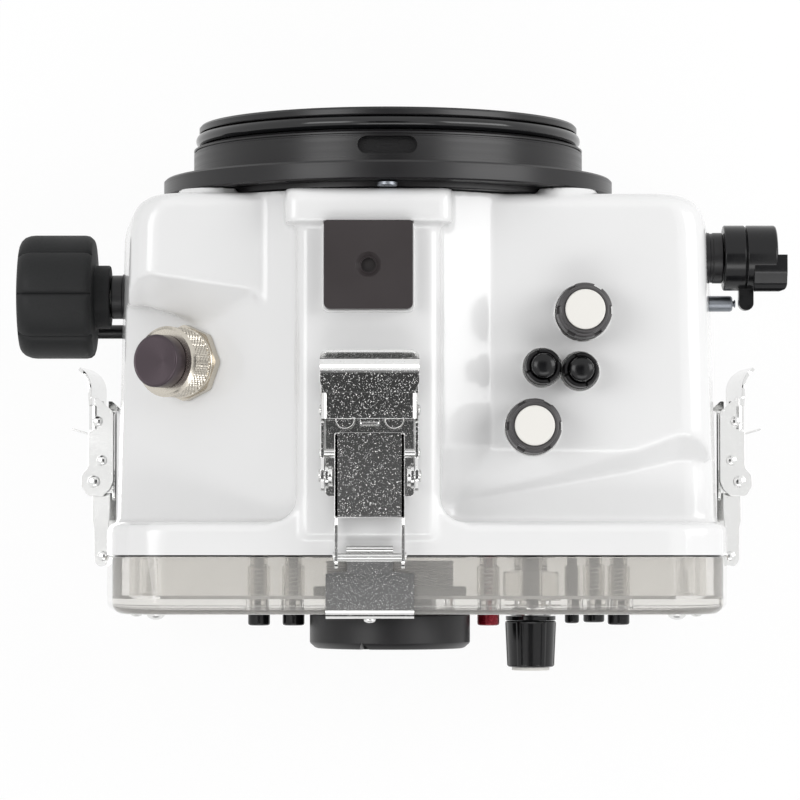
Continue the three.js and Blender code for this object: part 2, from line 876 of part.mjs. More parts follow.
function makePortRing() {
  const bodyFront = shell.front + gap;
  const sealHalf = portSeal.thickness / 2 + gap;
  const groove = portSeal.radius - portSeal.thickness / 2 - gap;
  const profile = [
    [port.bore, bodyFront - port.spigotLength],
    [port.spigotRadius, bodyFront - port.spigotLength],
    [port.spigotRadius, bodyFront],
    [port.baseRadius, bodyFront],
    [port.baseRadius, port.flangeRear],
    [port.flangeRadius, port.flangeRear],
    [port.flangeRadius, port.flangeFront],
    [port.neckRadius, port.flangeFront],
    [port.neckRadius, port.neckEnd - gap],
    [port.lipRadius, port.neckEnd],
    [port.lipRadius, portSeal.at - sealHalf],
    [groove, portSeal.at - sealHalf],
    [groove, portSeal.at + sealHalf],
    [port.lipRadius, portSeal.at + sealHalf],
    [port.lipRadius, port.front],
    [port.bore, port.front],
  ];
  profile.push(profile[0]);
  const ring = revolve('y', profile, port.x, port.height, facets.ring);
  const slot = prism('y', rectangle(
    -port.slotLength / 2, port.slotLength / 2, port.neckRadius - port.slotDepth, port.neckRadius + overrun,
  ), port.slotAt - port.slotWidth / 2, port.slotAt + port.slotWidth / 2);
  const slots = Array.from({ length: port.slots }, (_, i) => slot
    .rotate([0, (360 / port.slots) * i, 0])
    .translate([port.x, 0, port.height]));
  return cut(ring, slots);
}

add(housing, 'port_mount_ring', 'black', makePortRing());

const sealGeometry = new THREE.TorusGeometry(
  portSeal.radius, portSeal.thickness / 2, portSeal.sides, facets.ring);
add(housing, 'port_o_ring', 'rubber', place(sealGeometry, 'y', port.x, port.height, portSeal.at));

add(housing, 'port_index_pin', 'steel', rod(
  'y', indexPin.radius, shell.front + gap, port.flangeRear - gap,
  indexPin.x, port.height + port.baseRadius + indexPin.radius + gap, facets.pin,
));

// Accessory plate, with its threaded hole

const plateBottom = spine.top + pedestal.height + gap;
const plateTop = plateBottom + accessory.thickness;
const plateHole = [(topPlate.left + topPlate.right) / 2, (topPlate.rear + topPlate.front) / 2];
add(housing, 'accessory_plate', 'black', cut(
  prism('z', rounded(
    rectangle(topPlate.left, topPlate.right, topPlate.rear, topPlate.front), accessory.corner,
  ), plateBottom, plateTop),
  rod('z', accessory.holeRadius, plateBottom - overrun, plateTop + overrun, ...plateHole, facets.small),
  cone('z', accessory.holeRadius, accessorySink.radius, plateTop - accessorySink.depth, plateTop + gap / 2,
    ...plateHole, facets.small),
));

// Base plate, with two threaded holes for a grip tray

add(housing, 'base_plate', 'black', cut(
  prism('z', rounded(
    rectangle(-base.halfWidth, base.halfWidth, base.rear, base.front), base.corner,
  ), 0, base.thickness),
  [-1, 1].map((side) => rod(
    'z', base.holeRadius, -overrun, base.thickness + overrun, side * base.holeSpacing / 2, 0, facets.small,
  )),
));

// Camera tray and its screw

const trayMiddle = (tray.rear + tray.front) / 2;
add(housing, 'camera_tray', 'aluminium', cut(
  prism('z', rounded(
    rectangle(-tray.halfWidth, tray.halfWidth, tray.rear, tray.front), tray.corner,
  ), tray.height, tray.height + tray.thickness),
  rod('z', trayScrew.threadRadius + gap, tray.height - overrun, tray.height + tray.thickness + overrun,
    port.x, trayMiddle, facets.small),
));
add(housing, 'camera_screw', 'steel', join(
  rod('z', trayScrew.headRadius, tray.height - gap - trayScrew.headHeight, tray.height - gap,
    port.x, trayMiddle),
  rod('z', trayScrew.threadRadius, tray.height - gap - overrun, tray.height + trayScrew.reach,
    port.x, trayMiddle, facets.pin),
));

// Clear back

const rearInside = back.rear + back.wall;

function makeBack() {
  const ring = (y, drawnIn) => hullOutline(rim.top, 0, drawnIn, rim.topRadius - drawnIn)
    .map(([x, z]) => [x, y, z]);
  const rings = [];
  for (let step = 0; step <= facets.corner; step += 1) {
    const turn = (step / facets.corner) * Math.PI / 2;
    const drawnIn = back.rearRound * (1 - Math.sin(turn));
    rings.push(ring(back.rear + back.rearRound * (1 - Math.cos(turn)), drawnIn));
  }
  rings.push(ring(back.front, 0));
  const inside = prism('y', hullOutline(rim.top, 0, back.wall, rim.topRadius - back.wall),
    rearInside, back.front + overrun);
  const groove = cut(
    prism('y', hullOutline(rim.top, 0, gasket.inset - gap, rim.topRadius - gasket.inset),
      back.front - gasket.groove, back.front + overrun),
    prism('y', hullOutline(rim.top, 0, gasket.inset + gasket.width + gap, rim.topRadius - gasket.inset * 2),
      back.front - gasket.groove * 2, back.front + overrun * 2),
  );
  const dish = cut(loft(rings, flatXZ), inside, groove);
  const bosses = rearButtons.map((one) => rod(
    'y', one.radius + rearButton.bossMargin, rearInside - back.wall / 2, rearBossEnd, one.x, one.height,
    facets.small,
  ));
  const wheelBoss = rod('y', rearKnob.glandRadius, back.rear + back.wall / 2, rearBossEnd,
    rearKnob.x, rearKnob.height, facets.small);
  const wheelCollar = rod('y', rearKnob.collarRadius, rearKnob.start + gap, rearInside,
    rearKnob.x, rearKnob.height, facets.small);
  const bores = [
    ...rearButtons.map((one) => rod(
      'y', rearButton.stemRadius + gap, back.rear - overrun, back.front + overrun * 2, one.x, one.height,
      facets.pin,
    )),
    ...rearButtons.map((one) => rod(
      'y', one.radius + gap, back.rear - overrun, back.rear + rearButton.travel + gap, one.x, one.height,
      facets.small,
    )),
    rod('y', rearKnob.shaftRadius + gap, rearKnob.start - overrun, back.front + overrun * 2,
      rearKnob.x, rearKnob.height, facets.small),
    rod('y', eyepiece.barrelRadius + gap, back.rear - overrun, back.front, eyepiece.x, eyepiece.height,
      facets.ring),
  ];
  return cut(join(dish, bosses, wheelBoss, wheelCollar), bores);
}

add(housing, 'clear_back', 'clear', makeBack());

add(housing, 'main_gasket', 'rubber', cut(
  prism('y', hullOutline(rim.top, 0, gasket.inset, rim.topRadius - gasket.inset),
    rim.rearFace - gap - gasket.height, rim.rearFace - gap),
  prism('y', hullOutline(rim.top, 0, gasket.inset + gasket.width, rim.topRadius - gasket.inset * 2),
    back.rear, back.front + overrun * 2),
));

// Eyepiece

const eyepieceStart = back.rear - gap;
const eyepieceEnd = eyepieceStart - eyepiece.length;
const eyepieceFront = back.rear + eyepiece.barrelLength;
const glassRear = eyepieceEnd + eyepiece.glassInset;

function makeEyepiece() {
  const seat = eyepiece.bore + back.wall / 2;
  const profile = [
    [eyepiece.bore, eyepieceFront],
    [eyepiece.barrelRadius, eyepieceFront],
    [eyepiece.barrelRadius, eyepieceStart],
    [eyepiece.radius, eyepieceStart],
    [eyepiece.radius, eyepieceEnd + eyepiece.chamfer],
    [eyepiece.radius - eyepiece.chamfer, eyepieceEnd],
    [seat, eyepieceEnd],
    [seat, glassRear + eyepiece.glassThickness],
    [eyepiece.bore, glassRear + eyepiece.glassThickness],
  ];
  profile.push(profile[0]);
  const ring = revolve('y', profile, eyepiece.x, eyepiece.height, facets.ring);
  const notch = prism('z', [
    [eyepiece.x - eyepiece.notchWidth / 2, eyepieceEnd - overrun],
    [eyepiece.x + eyepiece.notchWidth / 2, eyepieceEnd - overrun],
    [eyepiece.x, eyepieceEnd + eyepiece.chamfer],
  ], eyepiece.height + seat + back.wall / 4, eyepiece.height + eyepiece.radius + overrun)
    .translate([-eyepiece.x, 0, -eyepiece.height])
    .rotate([0, -eyepiece.notchTurn, 0])
    .translate([eyepiece.x, 0, eyepiece.height]);
  return cut(ring, notch);
}

add(housing, 'eyepiece_ring', 'black', makeEyepiece());
add(housing, 'eyepiece_glass', 'glass', rod(
  'y', eyepiece.bore + back.wall / 2 - gap, glassRear, glassRear + eyepiece.glassThickness - gap,
  eyepiece.x, eyepiece.height, facets.ring,
));
add(housing, 'eyepiece_nut', 'black', cut(
  rod('y', eyepieceNut.radius, rearInside + gap, rearInside + gap + eyepieceNut.thickness,
    eyepiece.x, eyepiece.height, facets.ring),
  rod('y', eyepiece.barrelRadius + gap, rearInside - overrun, eyepieceFront + overrun,
    eyepiece.x, eyepiece.height, facets.ring),
));

// Buttons on the back

for (const one of rearButtons) {
  const end = back.rear - rearButton.proud;
  add(housing, one.name, one.name === 'record_button' ? 'red' : 'blackPlastic', join(
    cone('y', one.radius - gap, one.radius, end, end + gap, one.x, one.height, facets.small),
    rod('y', one.radius, end + gap, back.rear, one.x, one.height, facets.small),
    rod('y', rearButton.stemRadius, back.rear - overrun, rearButton.inner, one.x, one.height, facets.pin),
    rod('y', rearButton.padRadius, rearButton.inner, rearButton.inner + rearButton.padLength,
      one.x, one.height, facets.pin),
  ));
}

// Control wheel on the back

function ribbedOutline(radius, count, depth, stepsEach) {
  return Array.from({ length: count * stepsEach }, (_, i) => {
    const turn = (i / (count * stepsEach)) * Math.PI * 2;
    const reach = radius - depth * (1 - Math.abs(Math.cos(turn * count / 2)));
    return [reach * Math.cos(turn), reach * Math.sin(turn)];
  });
}

function taperedKnob(axis, profile, count, depth, stepsEach) {
  const ring = (radius, along, grooved) => (
    ribbedOutline(radius, count, depth * grooved, stepsEach).map(([p, q]) => [p, q, along])
  );
  const rings = profile.map((level) => ring(...level));
  return loft(rings, flatXY).transform(bases[axis].toArray());
}

const knobStart = rearKnob.start;
add(housing, 'rear_wheel_knob', 'blackPlastic', join(
  taperedKnob('y', [
    [rearKnob.endRadius - rearKnob.ribDepth, rearKnob.end, 0],
    [rearKnob.endRadius, rearKnob.end + rearKnob.ribDepth, 1],
    [rearKnob.baseRadius, knobStart, 1],
  ], rearKnob.ribs, rearKnob.ribDepth, facets.rib).translate([rearKnob.x, 0, rearKnob.height]),
  rod('y', rearKnob.shaftRadius, knobStart - overrun, rearKnob.inner, rearKnob.x, rearKnob.height,
    facets.pin),
  rod('y', rearKnob.wheelRadius, rearKnob.inner, rearKnob.inner + rearKnob.wheelThickness,
    rearKnob.x, rearKnob.height, facets.small),
));
add(housing, 'rear_wheel_cap', 'cream', rod(
  'y', rearKnobCap.radius, rearKnob.end - gap - rearKnobCap.thickness, rearKnob.end - gap,
  rearKnob.x, rearKnob.height,
));

// Zoom control

add(housing, 'zoom_gland', 'black', cut(
  join(
    rod('x', zoom.glandRadius, zoom.glandEnd, insideLeft, zoom.y, zoom.height),
    rod('x', zoom.nutRadius, insideLeft - gap, insideLeft + zoom.nutThickness, zoom.y, zoom.height),
  ),
  rod('x', zoom.shaftRadius + gap, zoom.glandEnd - overrun, insideLeft + zoom.nutThickness + overrun,
    zoom.y, zoom.height, facets.small),
));

function makeZoomKnob() {
  const hubStart = zoom.glandEnd - gap;
  const inner = hubStart - zoom.hubLength;
  const outer = inner - zoom.knobLength;
  const knob = taperedKnob('x', [
    [zoom.knobRadius - zoom.edge, outer, 0],
    [zoom.knobRadius - zoom.edge / 3, outer + zoom.edge / 3, zoom.edgeFluteShare],
    [zoom.knobRadius, outer + zoom.edge, 1],
    [zoom.knobRadius, inner - zoom.edge / 2, 1],
    [zoom.knobRadius - zoom.edge / 2, inner, zoom.edgeFluteShare],
  ], zoom.flutes, zoom.fluteDepth, facets.flute).translate([0, zoom.y, zoom.height]);
  const hub = rod('x', zoom.hubRadius, inner - overrun, hubStart, zoom.y, zoom.height);
  const bore = rod('x', zoom.shaftRadius + gap, inner - zoom.hubLength, hubStart + overrun,
    zoom.y, zoom.height, facets.small);
  return cut(join(knob, hub), bore);
}

add(housing, 'zoom_knob', 'grip', makeZoomKnob());
add(housing, 'zoom_shaft', 'steel', rod(
  'x', zoom.shaftRadius, zoom.glandEnd - zoom.hubLength * 2 + overrun, zoom.inner, zoom.y, zoom.height,
  facets.small,
));
add(housing, 'zoom_gear', 'blackPlastic', cut(
  taperedKnob('x', [
    [zoom.gearRadius, zoom.inner - zoom.gearThickness, 1],
    [zoom.gearRadius, zoom.inner, 1],
  ], zoom.gearTeeth, zoom.toothDepth, facets.rib).translate([0, zoom.y, zoom.height]),
  rod('x', zoom.shaftRadius + gap, zoom.inner - zoom.gearThickness - overrun, zoom.inner + overrun,
    zoom.y, zoom.height, facets.small),
));

// Lens release button

add(housing, 'release_gland', 'black', cut(
  rod('x', release.glandRadius, release.glandEnd, insideLeft, releaseAt.y, releaseAt.height, facets.small),
  rod('x', release.rodRadius + gap, release.glandEnd - overrun, insideLeft + overrun,
    releaseAt.y, releaseAt.height, facets.small),
));
add(housing, 'release_button', 'black', join(
  rod('x', release.headRadius, release.end, release.end + release.headLength, releaseAt.y, releaseAt.height),
  rod('x', release.rodRadius, release.end + release.headLength - overrun, release.inner,
    releaseAt.y, releaseAt.height, facets.small),
  rod('x', release.padRadius, release.inner, release.inner + overrun, releaseAt.y, releaseAt.height,
    facets.small),
));

// Shutter lever

const insideRight = -insideLeft;
add(housing, 'shutter_gland', 'black', cut(
  rod('x', shutter.glandRadius, insideRight, shutter.glandEnd, shutter.y, shutter.height),
  rod('x', shutter.shaftRadius + gap, insideRight - overrun, shutter.glandEnd + overrun,
    shutter.y, shutter.height, facets.small),
));

function makeShutterLever() {
  const start = shutter.glandEnd + gap;
  const grip = block(
    shutter.tabStart, shutter.tabEnd,
    shutter.tabTip, shutter.y,
    shutter.height + shutter.bodyRadius - shutter.tabThickness, shutter.height + shutter.bodyRadius,
  );
  const arm = block(
    shutter.armStart, shutter.armEnd,
    shutter.armTip, shutter.y,
    shutter.height - shutter.armThickness / 2, shutter.height + shutter.armThickness / 2,
  );
  return join(
    rod('x', shutter.ringRadius, start, shutter.ringEnd, shutter.y, shutter.height),
    rod('x', shutter.bodyRadius, shutter.ringEnd - overrun, shutter.bodyEnd, shutter.y, shutter.height),
    grip,
    arm,
    rod('x', shutter.shaftRadius, shutter.inner, start + overrun, shutter.y, shutter.height, facets.small),
  );
}

add(housing, 'shutter_lever', 'black', makeShutterLever());
add(housing, 'shutter_inner_arm', 'aluminium', cut(
  join(
    rod('x', shutter.innerArmWidth, shutter.inner + gap, shutter.inner + gap + shutter.innerArmThickness,
      shutter.y, shutter.height, facets.small),
    block(
      shutter.inner + gap, shutter.inner + gap + shutter.innerArmThickness,
      shutter.y - shutter.innerArmLength, shutter.y,
      shutter.height - shutter.innerArmWidth / 2, shutter.height + shutter.innerArmWidth / 2,
    ),
  ),
  rod('x', shutter.shaftRadius + gap, shutter.inner - overrun, insideRight, shutter.y, shutter.height,
    facets.small),
));
const postHeight = shutter.height - shutterPost.drop;
add(housing, 'shutter_stop_post', 'steel', join(
  rod('x', shutterPost.radius, wallAt(shutterPost.y, postHeight) + gap, shutterPost.end,
    shutterPost.y, postHeight, facets.small),
  rod('x', shutterPost.tipRadius, shutterPost.end - overrun, shutterPost.end + shutterPost.tipLength,
    shutterPost.y, postHeight, facets.pin),
));

// Dials

for (const one of dials) {
  const group = new THREE.Group();
  group.position.set(one.x, one.y, shell.dialDeck);
  housing.add(group);
  add(group, `${one.name}_gland`, 'black', cut(
    join(
      rod('z', dial.glandRadius, gap, dial.glandHeight, 0, 0),
      rod('z', dial.threadRadius, -shell.wall - gap, gap + overrun, 0, 0, facets.small),
      rod('z', dial.nutRadius, -shell.wall - gap - dial.nutThickness, -shell.wall - gap, 0, 0, facets.hex),
    ),
    rod('z', dial.shaftRadius + gap, -shell.frontRound, dial.glandHeight + overrun, 0, 0, facets.pin),
  ));
  const bottom = dial.glandHeight + gap;
  const notches = Array.from({ length: dial.notches }, (_, i) => block(
    dial.radius - dial.notchDepth, dial.radius + overrun,
    -dial.notchWidth / 2, dial.notchWidth / 2,
    bottom - overrun, dial.skirtHeight + bottom,
  ).rotate([0, 0, (360 / dial.notches) * i]));
  add(group, `${one.name}_knob`, 'greyKnob', join(
    cut(
      join(
        rod('z', dial.radius, bottom, bottom + dial.skirtHeight, 0, 0),
        cone('z', dial.radius, dial.crownRadius, bottom + dial.skirtHeight, dial.top, 0, 0),
      ),
      notches,
    ),
    rod('z', dial.shaftRadius, -dial.reach, bottom + overrun, 0, 0, facets.pin),
    rod('z', dial.wheelRadius, -dial.reach - dial.wheelThickness, -dial.reach,
      0, 0, facets.small),
  ));
  add(group, `${one.name}_cap`, 'cream', rod(
    'z', dialCap.radius, dial.top + gap, dial.top + gap + dialCap.thickness, 0, 0,
  ));
}

// Buttons on the deck

for (const one of topButtons) {
  const group = new THREE.Group();
  group.position.set(one.x, one.y, shell.dialDeck);
  housing.add(group);
  const neck = topButton.collarRadius - topButton.baseHeight;
  add(group, `${one.name}_collar`, 'black', cut(
    join(
      rod('z', topButton.baseRadius, gap, gap + topButton.baseHeight, 0, 0),
      rod('z', topButton.collarRadius, gap, topButton.collarHeight, 0, 0),
      rod('z', neck, -shell.wall - gap, gap + overrun, 0, 0, facets.small),
    ),
    rod('z', topButton.capRadius + gap, topButton.travel, topButton.collarHeight + overrun, 0, 0,
      facets.small),
    rod('z', topButton.stemRadius + gap, -shell.frontRound, topButton.collarHeight, 0, 0, facets.pin),
  ));
  const capBottom = topButton.travel * 2 + gap;
  add(group, one.name, 'blackPlastic', join(
    rod('z', topButton.capRadius, capBottom, topButton.top - topButton.dome, 0, 0, facets.small),
    cone('z', topButton.capRadius, topButton.capRadius - topButton.dome,
      topButton.top - topButton.dome, topButton.top, 0, 0, facets.small),
    rod('z', topButton.stemRadius, -topButton.reach, capBottom + overrun, 0, 0, facets.pin),
    rod('z', topButton.padRadius, -topButton.reach - topButton.padHeight,
      -topButton.reach, 0, 0, facets.pin),
  ));
}

// Strobe connector

const socket = new THREE.Group();
socket.position.set(connector.x, connector.y, slopeHeightAt(connector.x));
socket.rotation.y = THREE.MathUtils.degToRad(-connector.tilt);
housing.add(socket);
const barrelTop = gap * 2 + connector.baseHeight + connector.barrelHeight;
const threadEnd = gap * 2 - connector.threadLength;
add(socket, 'strobe_connector', 'nickel', cut(
  join(
    rod('z', connector.baseRadius, gap * 2, gap * 2 + connector.baseHeight, 0, 0, facets.hex),
    rod('z', connector.barrelRadius, gap * 2 + connector.baseHeight, barrelTop, 0, 0),
    rod('z', connector.threadRadius, threadEnd, gap * 2, 0, 0),
  ),
  rod('z', connector.throatRadius, barrelTop - connector.throatDepth, barrelTop + overrun, 0, 0),
));
add(socket, 'strobe_connector_nut', 'nickel', cut(
  rod('z', connector.nutRadius, threadEnd, threadEnd + connector.nutThickness, 0, 0, facets.hex),
  rod('z', connector.threadRadius + gap, threadEnd - overrun, gap, 0, 0),
));
add(socket, 'strobe_connector_cap', 'black', join(
  rod('z', connectorCap.radius, barrelTop + gap, barrelTop + gap + connectorCap.proud, 0, 0),
  rod('z', connectorCap.plugRadius, barrelTop + gap - connectorCap.plugDepth, barrelTop + overrun, 0, 0),
));

// Draw latches

function sideFlange(from, to) {
  const { pivot } = latch;
  const lobeAlong = (share) => pivot.along + (pivot.along - latch.flangeRear) * share;
  const [lobeFoot, lobeFront, lobeBack, lobeHeel] = latch.lobeShares;
  const outline = [
    [latch.flangeFront, latch.flangeBottom],
    [latch.flangeFront, latch.flangeTop],
    [lobeAlong(lobeFoot), latch.flangeTop],
    [lobeAlong(lobeFront), latch.lobeTop],
    [lobeAlong(lobeBack), latch.lobeTop],
    [latch.flangeRear, pivot.out + latch.sheet],
    [latch.flangeRear, pivot.out - latch.sheet * 2],
    [lobeAlong(lobeHeel), latch.flangeBottom + latch.sheet],
    [pivot.along, latch.flangeBottom],
  ];
  return prism('x', outline, from, to);
}

function makeLever() {
  const wide = latch.flangeHalfWidth;
  const thick = latch.sheet;
  const top = latch.flangeTop;
  const plate = block(-wide, wide, latch.plateRear, latch.tabStart, top - thick, top);
  const tabProfile = [
    [latch.tabStart - overrun, top - thick],
    [0, top - thick],
    [latch.tabFront / 2, top],
    [latch.tabFront, top + latch.tabRise - thick],
    [latch.tabFront - thick, top + latch.tabRise],
    [latch.tabFront / 2 - thick / 2, top + thick],
    [0, top],
    [latch.tabStart - overrun, top],
  ];
  const tab = prism('x', tabProfile, -latch.tabHalfWidth, latch.tabHalfWidth);
  const tabInside = cut(tab, [-1, 1].map((side) => block(
    side > 0 ? wide : -latch.tabHalfWidth - overrun,
    side > 0 ? latch.tabHalfWidth + overrun : -wide,
    latch.flangeFront - overrun, latch.tabStart + thick,
    top - thick * 2, top + thick,
  )));
  const flanges = [-1, 1].map((side) => (side > 0
    ? sideFlange(wide - thick, wide)
    : sideFlange(-wide, thick - wide)));
  const pins = [
    [latch.linkPin, latch.linkPinRadius],
    [latch.catchPin, latch.catchPinRadius],
  ].map(([at, radius]) => (
    rod('x', radius, -wide - thick / 2, wide + thick / 2, at.along, at.out, facets.pin)
  ));
  const heads = [latch.linkPin, latch.catchPin].flatMap((at) => [
    rod('x', latch.headRadius, wide - thick / 2, wide + latch.headHeight, at.along, at.out, facets.pin),
    rod('x', latch.headRadius, -wide - latch.headHeight, thick / 2 - wide, at.along, at.out, facets.pin),
  ]);
  const pivotHole = rod('x', latch.pivotRadius + gap, -wide - overrun, wide + overrun,
    latch.pivot.along, latch.pivot.out, facets.pin);
  return cut(join(plate, tabInside, flanges, pins, heads), pivotHole);
}

function makeLink() {
  const wide = latch.linkHalfWidth;
  const thick = latch.sheet;
  const { linkPin, hook } = latch;
  const top = latch.linkTop;
  const plate = block(-wide, wide, latch.linkRear, latch.linkFront, top - thick, top);
  const cheek = [
    [linkPin.along + latch.linkDepth / 2, linkPin.out - latch.armDepth / 2],
    [latch.linkFront, linkPin.out + latch.armDepth / 2],
    [latch.linkFront, top],
    [latch.linkRear, top],
    [latch.linkRear, hook.out + latch.armDepth / 2],
    [hook.along - latch.armDepth / 2, hook.out + latch.armDepth / 2],
    [hook.along - latch.armDepth / 2, hook.out - latch.armDepth / 2],
    [latch.linkRear, hook.out - latch.armDepth / 2],
    [latch.linkRear + latch.armDepth, top - latch.linkDepth],
    [linkPin.along, top - latch.linkDepth - thick / 2],
  ];
  const cheeks = [-1, 1].map((side) => (side > 0
    ? prism('x', cheek, wide - thick, wide)
    : prism('x', cheek, -wide, thick - wide)));
  const bore = rod('x', latch.linkPinRadius + gap, -wide - overrun, wide + overrun,
    linkPin.along, linkPin.out, facets.pin);
  const hookPin = rod('x', latch.hookRadius, -wide - latch.headHeight, wide + latch.headHeight,
    hook.along, hook.out, facets.pin);
  return join(cut(join(plate, cheeks), bore), hookPin);
}

function makeBracket() {
  const outer = latch.flangeHalfWidth - latch.sheet - gap;
  const thick = latch.sheet;
  const { pivot } = latch;
  const plate = block(-outer, outer, latch.bracketRear, latch.bracketFront, gap, gap + thick);
  const ears = [-1, 1].flatMap((side) => {
    const from = side > 0 ? outer - thick : -outer;
    return [
      rod('x', latch.earRadius, from, from + thick, pivot.along, pivot.out, facets.small),
      block(from, from + thick, pivot.along - latch.earRadius, pivot.along + latch.earRadius,
        gap, pivot.out),
    ];
  });
  const stubs = [-1, 1].flatMap((side) => {
    const at = (reach) => side * reach;
    const span = (inner, end) => [Math.min(at(inner), at(end)), Math.max(at(inner), at(end))];
    const headStart = latch.flangeHalfWidth + gap;
    return [
      rod('x', latch.pivotRadius, ...span(outer - thick / 2, headStart + thick / 2),
        pivot.along, pivot.out, facets.pin),
      rod('x', latch.headRadius + gap, ...span(headStart, headStart + latch.headHeight),
        pivot.along, pivot.out, facets.pin),
    ];
  });
  return join(plate, ears, stubs);
}

function makeKeeper() {
  const thick = latch.sheet;
  const bottom = gap - latch.rimDrop;
  const top = bottom + thick;
  const lipFace = latch.hook.along + latch.hookRadius + keeper.lipClearance;
  const lipTop = latch.hook.out - latch.hookRadius + keeper.lipEngagement;
  const rearFace = back.rear - gap;
  const wide = keeper.halfWidth;
  const neck = keeper.neckHalfWidth;
  return cut(
    join(
      block(-wide, wide, rearFace - thick, keeper.neckRear, bottom, top),
      block(-neck, neck, keeper.neckRear - overrun, lipFace + thick, bottom, top),
      block(-neck, neck, lipFace, lipFace + thick, bottom, lipTop),
      block(-wide, wide, rearFace - thick, rearFace, -keeper.drop, top),
    ),
    rod('y', keeper.screwRadius - gap * 2, rearFace - thick - overrun, rearFace + overrun,
      0, -keeper.screwDrop, facets.pin),
  );
}

function makeKeeperScrew() {
  const face = back.rear - gap - latch.sheet - gap;
  return join(
    rod('y', keeper.screwRadius, face - keeper.screwHeight, face, 0, -keeper.screwDrop, facets.pin),
    rod('y', keeper.screwRadius - gap * 3, face - gap, face + latch.sheet + gap, 0, -keeper.screwDrop,
      facets.pin),
  );
}

for (const [side, face] of Object.entries(latchFaces)) {
  const group = new THREE.Group();
  group.position.set(face.x, 0, face.z);
  group.rotation.y = THREE.MathUtils.degToRad(face.lean);
  housing.add(group);
  add(group, `${side}_latch_bracket`, 'steel', makeBracket());
  add(group, `${side}_latch_lever`, 'steel', makeLever());
  add(group, `${side}_latch_link`, 'steel', makeLink());
  add(group, `${side}_latch_keeper`, 'steel', makeKeeper());
  add(group, `${side}_keeper_screw`, 'steel', makeKeeperScrew());
}

export default housing;
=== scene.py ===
import json
import math

import bmesh
import bpy
from mathutils import Matrix, Vector


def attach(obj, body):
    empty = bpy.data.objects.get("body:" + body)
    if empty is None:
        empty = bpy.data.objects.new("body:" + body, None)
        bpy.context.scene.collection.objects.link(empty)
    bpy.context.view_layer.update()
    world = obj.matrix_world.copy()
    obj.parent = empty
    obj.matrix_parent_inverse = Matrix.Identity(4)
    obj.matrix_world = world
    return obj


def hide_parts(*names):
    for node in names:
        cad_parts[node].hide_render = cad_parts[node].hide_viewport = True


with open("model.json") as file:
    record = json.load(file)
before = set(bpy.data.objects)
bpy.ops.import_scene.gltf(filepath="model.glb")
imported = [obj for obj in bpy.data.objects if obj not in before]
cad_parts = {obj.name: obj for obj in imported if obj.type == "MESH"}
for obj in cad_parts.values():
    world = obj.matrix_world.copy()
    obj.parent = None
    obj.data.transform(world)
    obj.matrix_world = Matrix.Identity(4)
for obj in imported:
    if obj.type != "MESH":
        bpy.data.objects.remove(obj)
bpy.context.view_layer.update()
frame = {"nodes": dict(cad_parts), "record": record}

bl_info = {
    "name": "Underwater camera housing",
    "version": (1, 0, 0),
    "blender": (4, 5, 0),
    "location": "View3D > Sidebar > Housing",
    "description": "Moulded, anodised and polished pieces over the packed frame of a camera housing",
    "category": "Object",
}

MM = 0.001
BODY_OF = {
    node: body
    for body, nodes in frame["record"]["behaviour"]["bodies"].items()
    for node in nodes
}

# Places and sizes of the frame, in millimetres
RIM = {"half": 117, "foot_half": 110, "top_half": 108, "widest": 80, "foot": 3, "top": 162.5}
RIM_ROUND = {"foot": 16, "side": 60, "top": 20}
RIM_REAR = -64.6
BACK_FRONT = -65.6
BACK_REAR = -85.8
BACK_WALL = 5.5
DECK = 146
SPINE_TOP = 164
PORT = {"x": -10.9, "z": 88}
EYEPIECE = {"x": -10.1, "z": 121}
WHEEL = (42.4, 0, 92)
ZOOM = (0, 32.05, 88)
RELEASE = (0, 20.85, 56)
SHUTTER = (0, 44.3, 120)
STOP_POST = (0, 28, 112.5)
PLATE = {"left": -33.35, "right": -1.85, "rear": 22.4, "front": 53.9}
CONNECTOR = (-83, 5, 133.08)
CONNECTOR_LEAN = -31
LATCH_FACES = {
    "top": ((-17.1, 0, SPINE_TOP), 0),
    "left": ((-114.409, 0, 35), -95.194),
    "right": ((114.409, 0, 35), 95.194),
}
REAR_BUTTONS = {
    "menu": (-58.3, 112, 4.05),
    "info": (-45.6, 112, 4.05),
    "record": (26.1, 112, 4.05),
    "playback": (67.9, 56, 4.05),
    "delete": (74.8, 100, 4.05),
    "select": (58.7, 73, 2.7),
}
DIALS = {"front_dial": (59.4, 22.6), "rear_dial": (41.4, -18.7)}
DECK_BUTTONS = {"mode": (44.8, 2.8), "iso": (58.3, 1.5)}
OUTSIDE = 200
OVERRUN = 8
PLUG_DEPTH = 4


# Colours and sizes that a user would change

def linear(code):
    """A six-digit sRGB colour as the linear values that the shaders work in."""
    shares = (int(code[i:i + 2], 16) / 255 for i in (1, 3, 5))
    return tuple(s / 12.92 if s <= 0.04045 else ((s + 0.055) / 1.055) ** 2.4 for s in shares)


def colour(name, description, code):
    return bpy.props.FloatVectorProperty(
        name=name, description=description, default=linear(code), subtype="COLOR", min=0, max=1,
    )


def length(name, description, size):
    return bpy.props.FloatProperty(
        name=name, description=description, default=size * MM, unit="LENGTH", precision=5, min=0,
    )


